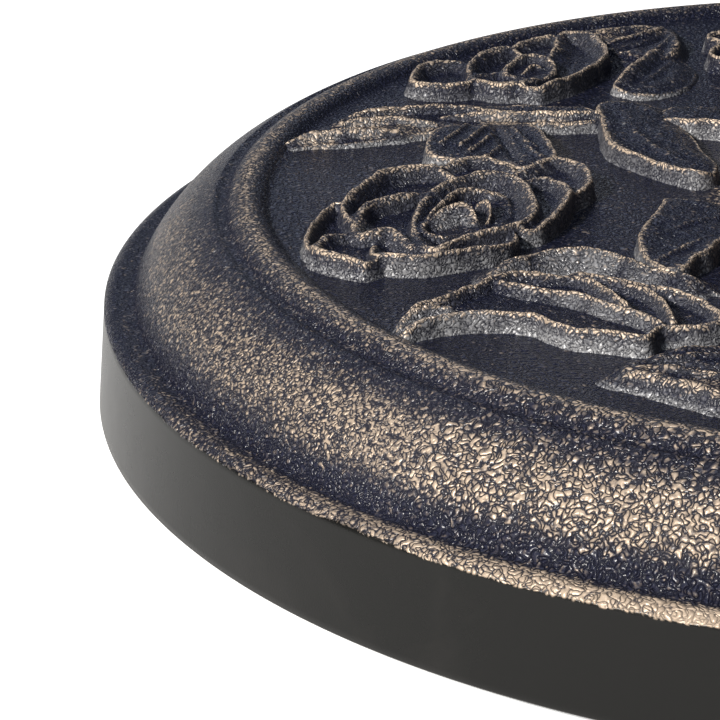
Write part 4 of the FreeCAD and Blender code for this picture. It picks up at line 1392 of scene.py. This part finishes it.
@dataclass
class HubCover:
    """The loose bell that hides the flange, with a ring of lobes round its dome and a bead at its neck.

    Attributes:
        radius: Outer radius of its rim.
        foot: Height of its lower edge.
        top: Height of its upper edge.
        bore: Radius of its bore on the tube.
        wall: Thickness of its wall.
        bevel: Width of the bevels at its foot and its bore.
        rim_height: Height of its upright rim.
        dome_width: How far the dome draws in.
        dome_round: Radius of the dome's section.
        neck_width: How far the neck draws in.
        neck_rise: Height of the neck.
        neck_round: Radius of the neck's section.
        bead_rise: Height of the bead.
        bead_round: Radius of the bead's section.
        sliding_length: Length of the bore.
        lobes: Number of lobes.
        lobe_depth: Depth of the grooves between them.
        steps: Number of steps in the full turn.
    """

    radius: float
    foot: float
    top: float
    bore: float
    wall: float = 3.0
    bevel: float = 0.6
    rim_height: float = 10.0
    dome_width: float = 9.5
    dome_round: float = 14.0
    neck_width: float = 13.5
    neck_rise: float = 14.5
    neck_round: float = 28.0
    bead_rise: float = 8.0
    bead_round: float = 5.0
    sliding_length: float = 10.0
    lobes: int = 20
    lobe_depth: float = 1.3
    steps: int = 480

    @property
    def neck_level(self) -> float:
        """Height where the neck ends."""
        return self.top - self.bead_rise

    @property
    def dome_level(self) -> float:
        """Height where the dome ends."""
        return self.neck_level - self.neck_rise

    def outline(self) -> Profile:
        """Draws the section, up the outside and down the inside.

        Returns:
            The section.
        """
        rim = self.foot + self.rim_height
        dome = self.radius - self.dome_width
        neck = dome - self.neck_width
        line = Profile(self.radius - self.wall, self.foot)
        line.lines((self.radius - self.bevel, self.foot), (self.radius, self.foot + self.bevel))
        line.line(self.radius, rim, 8)
        line.arc(dome, self.dome_level, self.dome_round, 18)
        line.arc(neck, self.neck_level, -self.neck_round, 22)
        line.arc(neck, self.top, self.bead_round, 14)
        return line.lines((self.bore + self.bevel, self.top), (self.bore, self.top - self.bevel),
                          (self.bore, self.top - self.sliding_length),
                          (dome - self.wall, self.dome_level - self.wall), (self.radius - self.wall, rim))

    def build(self, material: bpy.types.Material) -> bpy.types.Object:
        """Makes the cover.

        Args:
            material: The cast finish.

        Returns:
            The piece.
        """
        shape = self.outline().spun(self.steps)
        places = coordinates_of(shape)
        radii, turns = polar_of(places)
        heights = places[:, 2]
        rim = self.foot + self.rim_height
        inside = np.interp(heights, (rim, self.dome_level - self.wall, self.top - self.sliding_length),
                           (self.radius - self.wall, self.radius - self.dome_width - self.wall, self.bore))
        outside = np.where(radii > inside + self.wall / 2, 1.0, 0.0)
        # The lobes fade in above the rim and fade out below the bead, and bronze lies on them, the bead and the edges.
        zone = smooth_rise((heights - rim) / 3.5) * smooth_rise((self.neck_level - 3.0 - heights) / 9.0) * outside
        lobe = np.abs(np.cos(turns * self.lobes / 2))
        factor = 1.0 - self.lobe_depth * zone * (1.0 - lobe) / radii
        for vertex, scale in zip(shape.verts, factor):
            vertex.co.x *= scale
            vertex.co.y *= scale
        bead = smooth_rise((heights - self.neck_level) / 3.0) * smooth_rise((self.top + 1.0 - heights) / 3.0)
        edge = smooth_rise(1.0 - np.abs(heights - rim) / 2.5) + smooth_rise(1.0 - np.abs(heights - self.foot) / 2.0)
        worn = 0.16 + zone * (lobe ** 3 * 0.75 - 0.1) + bead * 0.55 + edge * 0.45
        set_values(shape, RUB, np.clip(worn * outside, 0.0, 1.0))
        set_values(shape, GRAIN, np.full(heights.shape, HUB_GRAIN))
        return finish_mesh(shape, "hub_bell", material, 50.0)


@dataclass
class ThreadedRod:
    """A screw with a real right-hand thread, lying along X.

    Attributes:
        radius: Outer radius.
        near: Where it starts along X.
        far: Where it ends along X.
        level: Height of its axis.
        pitch: Distance between two turns of the thread.
        depth: Depth of the thread.
        steepness: How steep the thread's flanks are.
        chamfer: Length of the bevels at its ends.
        parts: Number of rings in each turn of the thread.
        steps: Number of vertices in each ring.
    """

    radius: float
    near: float
    far: float
    level: float
    pitch: float = 1.5
    depth: float = 0.9
    steepness: float = 2.6
    chamfer: float = 0.9
    parts: int = 10
    steps: int = 40

    def build(self, material: bpy.types.Material) -> bpy.types.Object:
        """Makes the screw.

        Args:
            material: Its plating.

        Returns:
            The piece.
        """
        shape = bmesh.new()
        count = round((self.far - self.near) / self.pitch * self.parts)
        rings = []
        for row in range(count + 1):
            place = self.near + (self.far - self.near) * row / count
            end = min(place - self.near, self.far - place)
            ring = []
            for column in range(self.steps):
                share = column / self.steps
                phase = (place / self.pitch - share) % 1.0
                groove = max(0.0, 1.0 - abs(phase - 0.5) * self.steepness)
                reach = min(self.radius - self.depth * groove, self.radius - self.chamfer + end)
                angle = 2 * math.pi * share
                ring.append(shape.verts.new((place, reach * math.cos(angle), self.level + reach * math.sin(angle))))
            rings.append(ring)
        for one, two in zip(rings, rings[1:]):
            for column in range(self.steps):
                after = (column + 1) % self.steps
                shape.faces.new((one[column], one[after], two[after], two[column]))
        shape.faces.new(rings[0])
        shape.faces.new(rings[-1])
        return finish_mesh(shape, "thread_m10", material, 30.0)


@dataclass
class WeldBead:
    """The weld that holds the tube to its flange.

    Attributes:
        radius: The tube's outer radius.
        level: Height of the flange's upper face.
        leg: How far the weld reaches out and up.
        sink: How far it reaches into the tube and the flange.
        hollow: Radius of its hollow face.
        ripples: Number of ripples round the tube.
        ripple_depth: Depth of the ripples.
        steps: Number of steps in the full turn.
    """

    radius: float
    level: float
    leg: float = 3.0
    sink: float = 0.3
    hollow: float = 4.0
    ripples: int = 64
    ripple_depth: float = 0.35
    steps: int = 512

    def build(self, material: bpy.types.Material) -> bpy.types.Object:
        """Makes the weld.

        Args:
            material: The coat over it.

        Returns:
            The piece.
        """
        inner = self.radius - self.sink
        line = Profile(inner, self.level - self.sink)
        line.lines((self.radius + self.leg, self.level - self.sink), (self.radius + self.leg, self.level + 0.2))
        line.arc(self.radius, self.level + self.leg, self.hollow, 8)
        shape = line.lines((inner, self.level + self.leg)).spun(self.steps)
        for vertex in shape.verts:
            reach = math.hypot(vertex.co.x, vertex.co.y)
            if reach > self.radius + 0.1 and vertex.co.z > self.level:
                turn = math.atan2(vertex.co.y, vertex.co.x)
                ripple = abs(math.sin(turn * self.ripples / 2)) * self.ripple_depth
                vertex.co.x *= 1.0 - ripple / reach
                vertex.co.y *= 1.0 - ripple / reach
                vertex.co.z -= ripple * 0.6
        return finish_mesh(shape, "weld_bead", material, 40.0)


# ------------------------------------------------------------------------------------------------------ stage


WHITE = (1.0, 1.0, 1.0, 1.0)


@dataclass(frozen=True)
class SoftLight:
    """A square soft light that faces the base.

    Attributes:
        name: Its name.
        place: Its place in metres.
        power: Its power in watts.
        size: Its side in metres.
        colour: Its colour.
        aim: The place in metres that it faces.
    """

    name: str
    place: tuple[float, float, float]
    power: float
    size: float
    colour: Colour
    aim: tuple[float, float, float] = (-0.08, -0.05, 0.04)

    def add(self) -> None:
        """Adds the light to the scene."""
        data = bpy.data.lights.new(self.name, "AREA")
        data.energy = self.power
        data.size = self.size
        data.color = self.colour
        light = bpy.data.objects.new(self.name, data)
        light.location = self.place
        light.rotation_euler = (Vector(self.aim) - Vector(self.place)).to_track_quat("-Z", "Y").to_euler()
        bpy.context.scene.collection.objects.link(light)


@dataclass
class Studio:
    """The pale floor, the soft lights and the camera.

    Attributes:
        camera_place: The camera's place in metres.
        camera_tilt: How far it looks down, in degrees.
        lens: Its focal length on a 36 mm wide sensor.
        lights: The soft lights.
        sky: Strength of the sky's light on the base.
        sky_colour: Colour of that light.
        floor_size: Half the floor's side in metres.
        floor_colour: Colour of the floor as the base sees it.
    """

    camera_place: tuple[float, float, float] = (-0.15656, -0.87873, 0.34631)
    camera_tilt: float = 21.042
    lens: float = 178.137
    lights: tuple[SoftLight, ...] = (
        SoftLight("key", (-2.30, -2.22, 1.92), 200.0, 0.44, (1.0, 0.96, 0.90)),
        SoftLight("top", (-0.2, -0.3, 1.8), 6.0, 1.2, (0.80, 0.88, 1.0)),
        SoftLight("back", (-0.4, 2.3, 0.80), 2.1, 1.0, (0.74, 0.82, 1.0)),
        SoftLight("glint", (-0.9, 1.7, 1.7), 0.8, 0.25, (0.90, 0.95, 1.0)),
    )
    sky: float = 0.07
    sky_colour: Colour = (0.78, 0.87, 1.0)
    floor_size: float = 4.0
    floor_colour: Colour = (0.20, 0.20, 0.20)

    def add_camera(self) -> None:
        """Adds the camera, level from side to side and looking along +Y and down."""
        data = bpy.data.cameras.new("camera")
        data.lens = self.lens
        data.sensor_width = 36.0
        data.clip_start = 0.01
        camera = bpy.data.objects.new("camera", data)
        camera.location = self.camera_place
        camera.rotation_euler = (math.radians(90.0 - self.camera_tilt), 0.0, 0.0)
        bpy.context.scene.collection.objects.link(camera)
        bpy.context.scene.camera = camera

    def add_world(self) -> None:
        """Adds an even pale sky that looks white behind the base."""
        world = bpy.data.worlds.new("sky")
        world.use_nodes = True
        tree = world.node_tree
        tree.nodes.clear()
        seen = tree.nodes.new("ShaderNodeLightPath")
        mixed = tree.nodes.new("ShaderNodeMixShader")
        end = tree.nodes.new("ShaderNodeOutputWorld")
        tree.links.new(seen.outputs["Is Camera Ray"], mixed.inputs["Fac"])
        for socket, colour, strength in ((1, opaque(self.sky_colour), self.sky), (2, WHITE, 1.0)):
            light = tree.nodes.new("ShaderNodeBackground")
            light.inputs["Color"].default_value = colour
            light.inputs["Strength"].default_value = strength
            tree.links.new(light.outputs[0], mixed.inputs[socket])
        tree.links.new(mixed.outputs[0], end.inputs["Surface"])
        bpy.context.scene.world = world

    def add_floor(self) -> None:
        """Adds the pale floor, which looks white but throws little light back at the base."""
        shape = bmesh.new()
        bmesh.ops.create_grid(shape, x_segments=1, y_segments=1, size=self.floor_size / MM)
        graph = Graph("pale_floor")
        seen = graph.node("ShaderNodeLightPath", None, None, "Is Camera Ray")
        mirrored = graph.node("ShaderNodeLightPath", None, None, "Is Glossy Ray")
        dull = graph.node("ShaderNodeBsdfDiffuse", None, {"Color": opaque(self.floor_colour)})
        lit = graph.node("ShaderNodeBsdfDiffuse", None, {"Color": (0.9, 0.9, 0.9, 1.0)})
        glow = graph.node("ShaderNodeEmission", None, {"Color": WHITE, "Strength": 0.6})
        bright = graph.node("ShaderNodeAddShader", None, {0: lit, 1: glow})
        other = graph.node("ShaderNodeMixShader", None, {0: mirrored, 1: dull, 2: lit})
        graph.node_output(graph.node("ShaderNodeMixShader", None, {0: seen, 1: other, 2: bright}))
        finish_mesh(shape, "floor", graph.material, None)

    def build(self) -> None:
        """Sets the stage."""
        self.add_camera()
        self.add_world()
        for light in self.lights:
            light.add()
        self.add_floor()
        bpy.context.scene.view_settings.view_transform = "Standard"


# ------------------------------------------------------------------------------------------------------- main


class Slot(Enum):
    """The record's material slots."""

    CAST = "bronzed_resin"
    CONCRETE = "concrete"
    ZINC = "zinc_steel"
    GREY = "grey_plastic"
    FOAM = "foam"
    RUBBER = "rubber"
    COAT = "powder_coat"
    BLACK = "black_plastic"
    CAP = "bronzed_cap"


def dress_nodes(finishes: dict[Slot, bpy.types.Material]) -> None:
    """Gives every CAD node the finish of its slot.

    Args:
        finishes: The material of each slot.
    """
    slots = {part["node"]: Slot(part["material_slot"]) for part in frame["record"]["subparts"]}
    for name, node in frame["nodes"].items():
        node.data.materials.clear()
        node.data.materials.append(finishes[slots[name]])


def main() -> None:
    """Builds the scene: the stage, the finishes, the cast base with its relief, and the rest."""
    logging.basicConfig(level=logging.INFO, format="%(message)s")
    Studio().build()
    cast = BronzedCast().build("bronzed_cast")
    finishes = {
        Slot.CAST: cast,
        Slot.CONCRETE: Concrete().build("concrete"),
        Slot.ZINC: ZINC_STEEL.build("zinc_steel"),
        Slot.GREY: GREY_PLASTIC.build("grey_plastic"),
        Slot.FOAM: FOAM.build("foam"),
        Slot.RUBBER: RUBBER.build("rubber"),
        Slot.COAT: POWDER_COAT.build("powder_coat"),
        Slot.BLACK: BLACK_PLASTIC.build("black_plastic"),
        Slot.CAP: SATIN_BRONZE.build("satin_bronze"),
    }
    dress_nodes(finishes)
    shell_low, shell_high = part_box("base_shell")
    gasket_low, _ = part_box("flange_gasket")
    cover_low, cover_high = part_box("hub_cover")
    boss_level = gasket_low.z / MM
    disc = CastDisc(radius=shell_high.x / MM, foot=shell_low.z / MM, field_level=boss_level - 4.0,
                    boss_level=boss_level, boss_radius=cover_high.x / MM + 4.0,
                    hole_radius=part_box("drain_sleeve")[1].x / MM)
    skirted = BronzedCast(skirt_top=disc.shoulder_level - disc.lip_drop).build("bronzed_cast_with_skirt")
    place_piece(disc.build(skirted), "base", Slot.CAST.value, "base_shell")
    for piece in Relief(disc.field_level).build(cast):
        place_piece(piece, "base", Slot.CAST.value, "base_shell")
    _, tube_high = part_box("socket_tube")
    cover = HubCover(cover_high.x / MM, cover_low.z / MM, cover_high.z / MM, tube_high.y / MM + 0.5)
    place_piece(cover.build(cast), "cover", Slot.CAST.value, "hub_cover")
    screw_low, screw_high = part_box("clamp_screw")
    screw = ThreadedRod(screw_high.y / MM, screw_low.x / MM, screw_high.x / MM, (screw_low.z + screw_high.z) / 2 / MM)
    place_piece(screw.build(finishes[Slot.ZINC]), "knob", Slot.ZINC.value, "clamp_screw")
    weld = WeldBead(tube_high.y / MM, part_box("tube_flange")[1].z / MM)
    place_piece(weld.build(finishes[Slot.COAT]), "base", Slot.COAT.value)


if __name__ == "__main__":
    main()
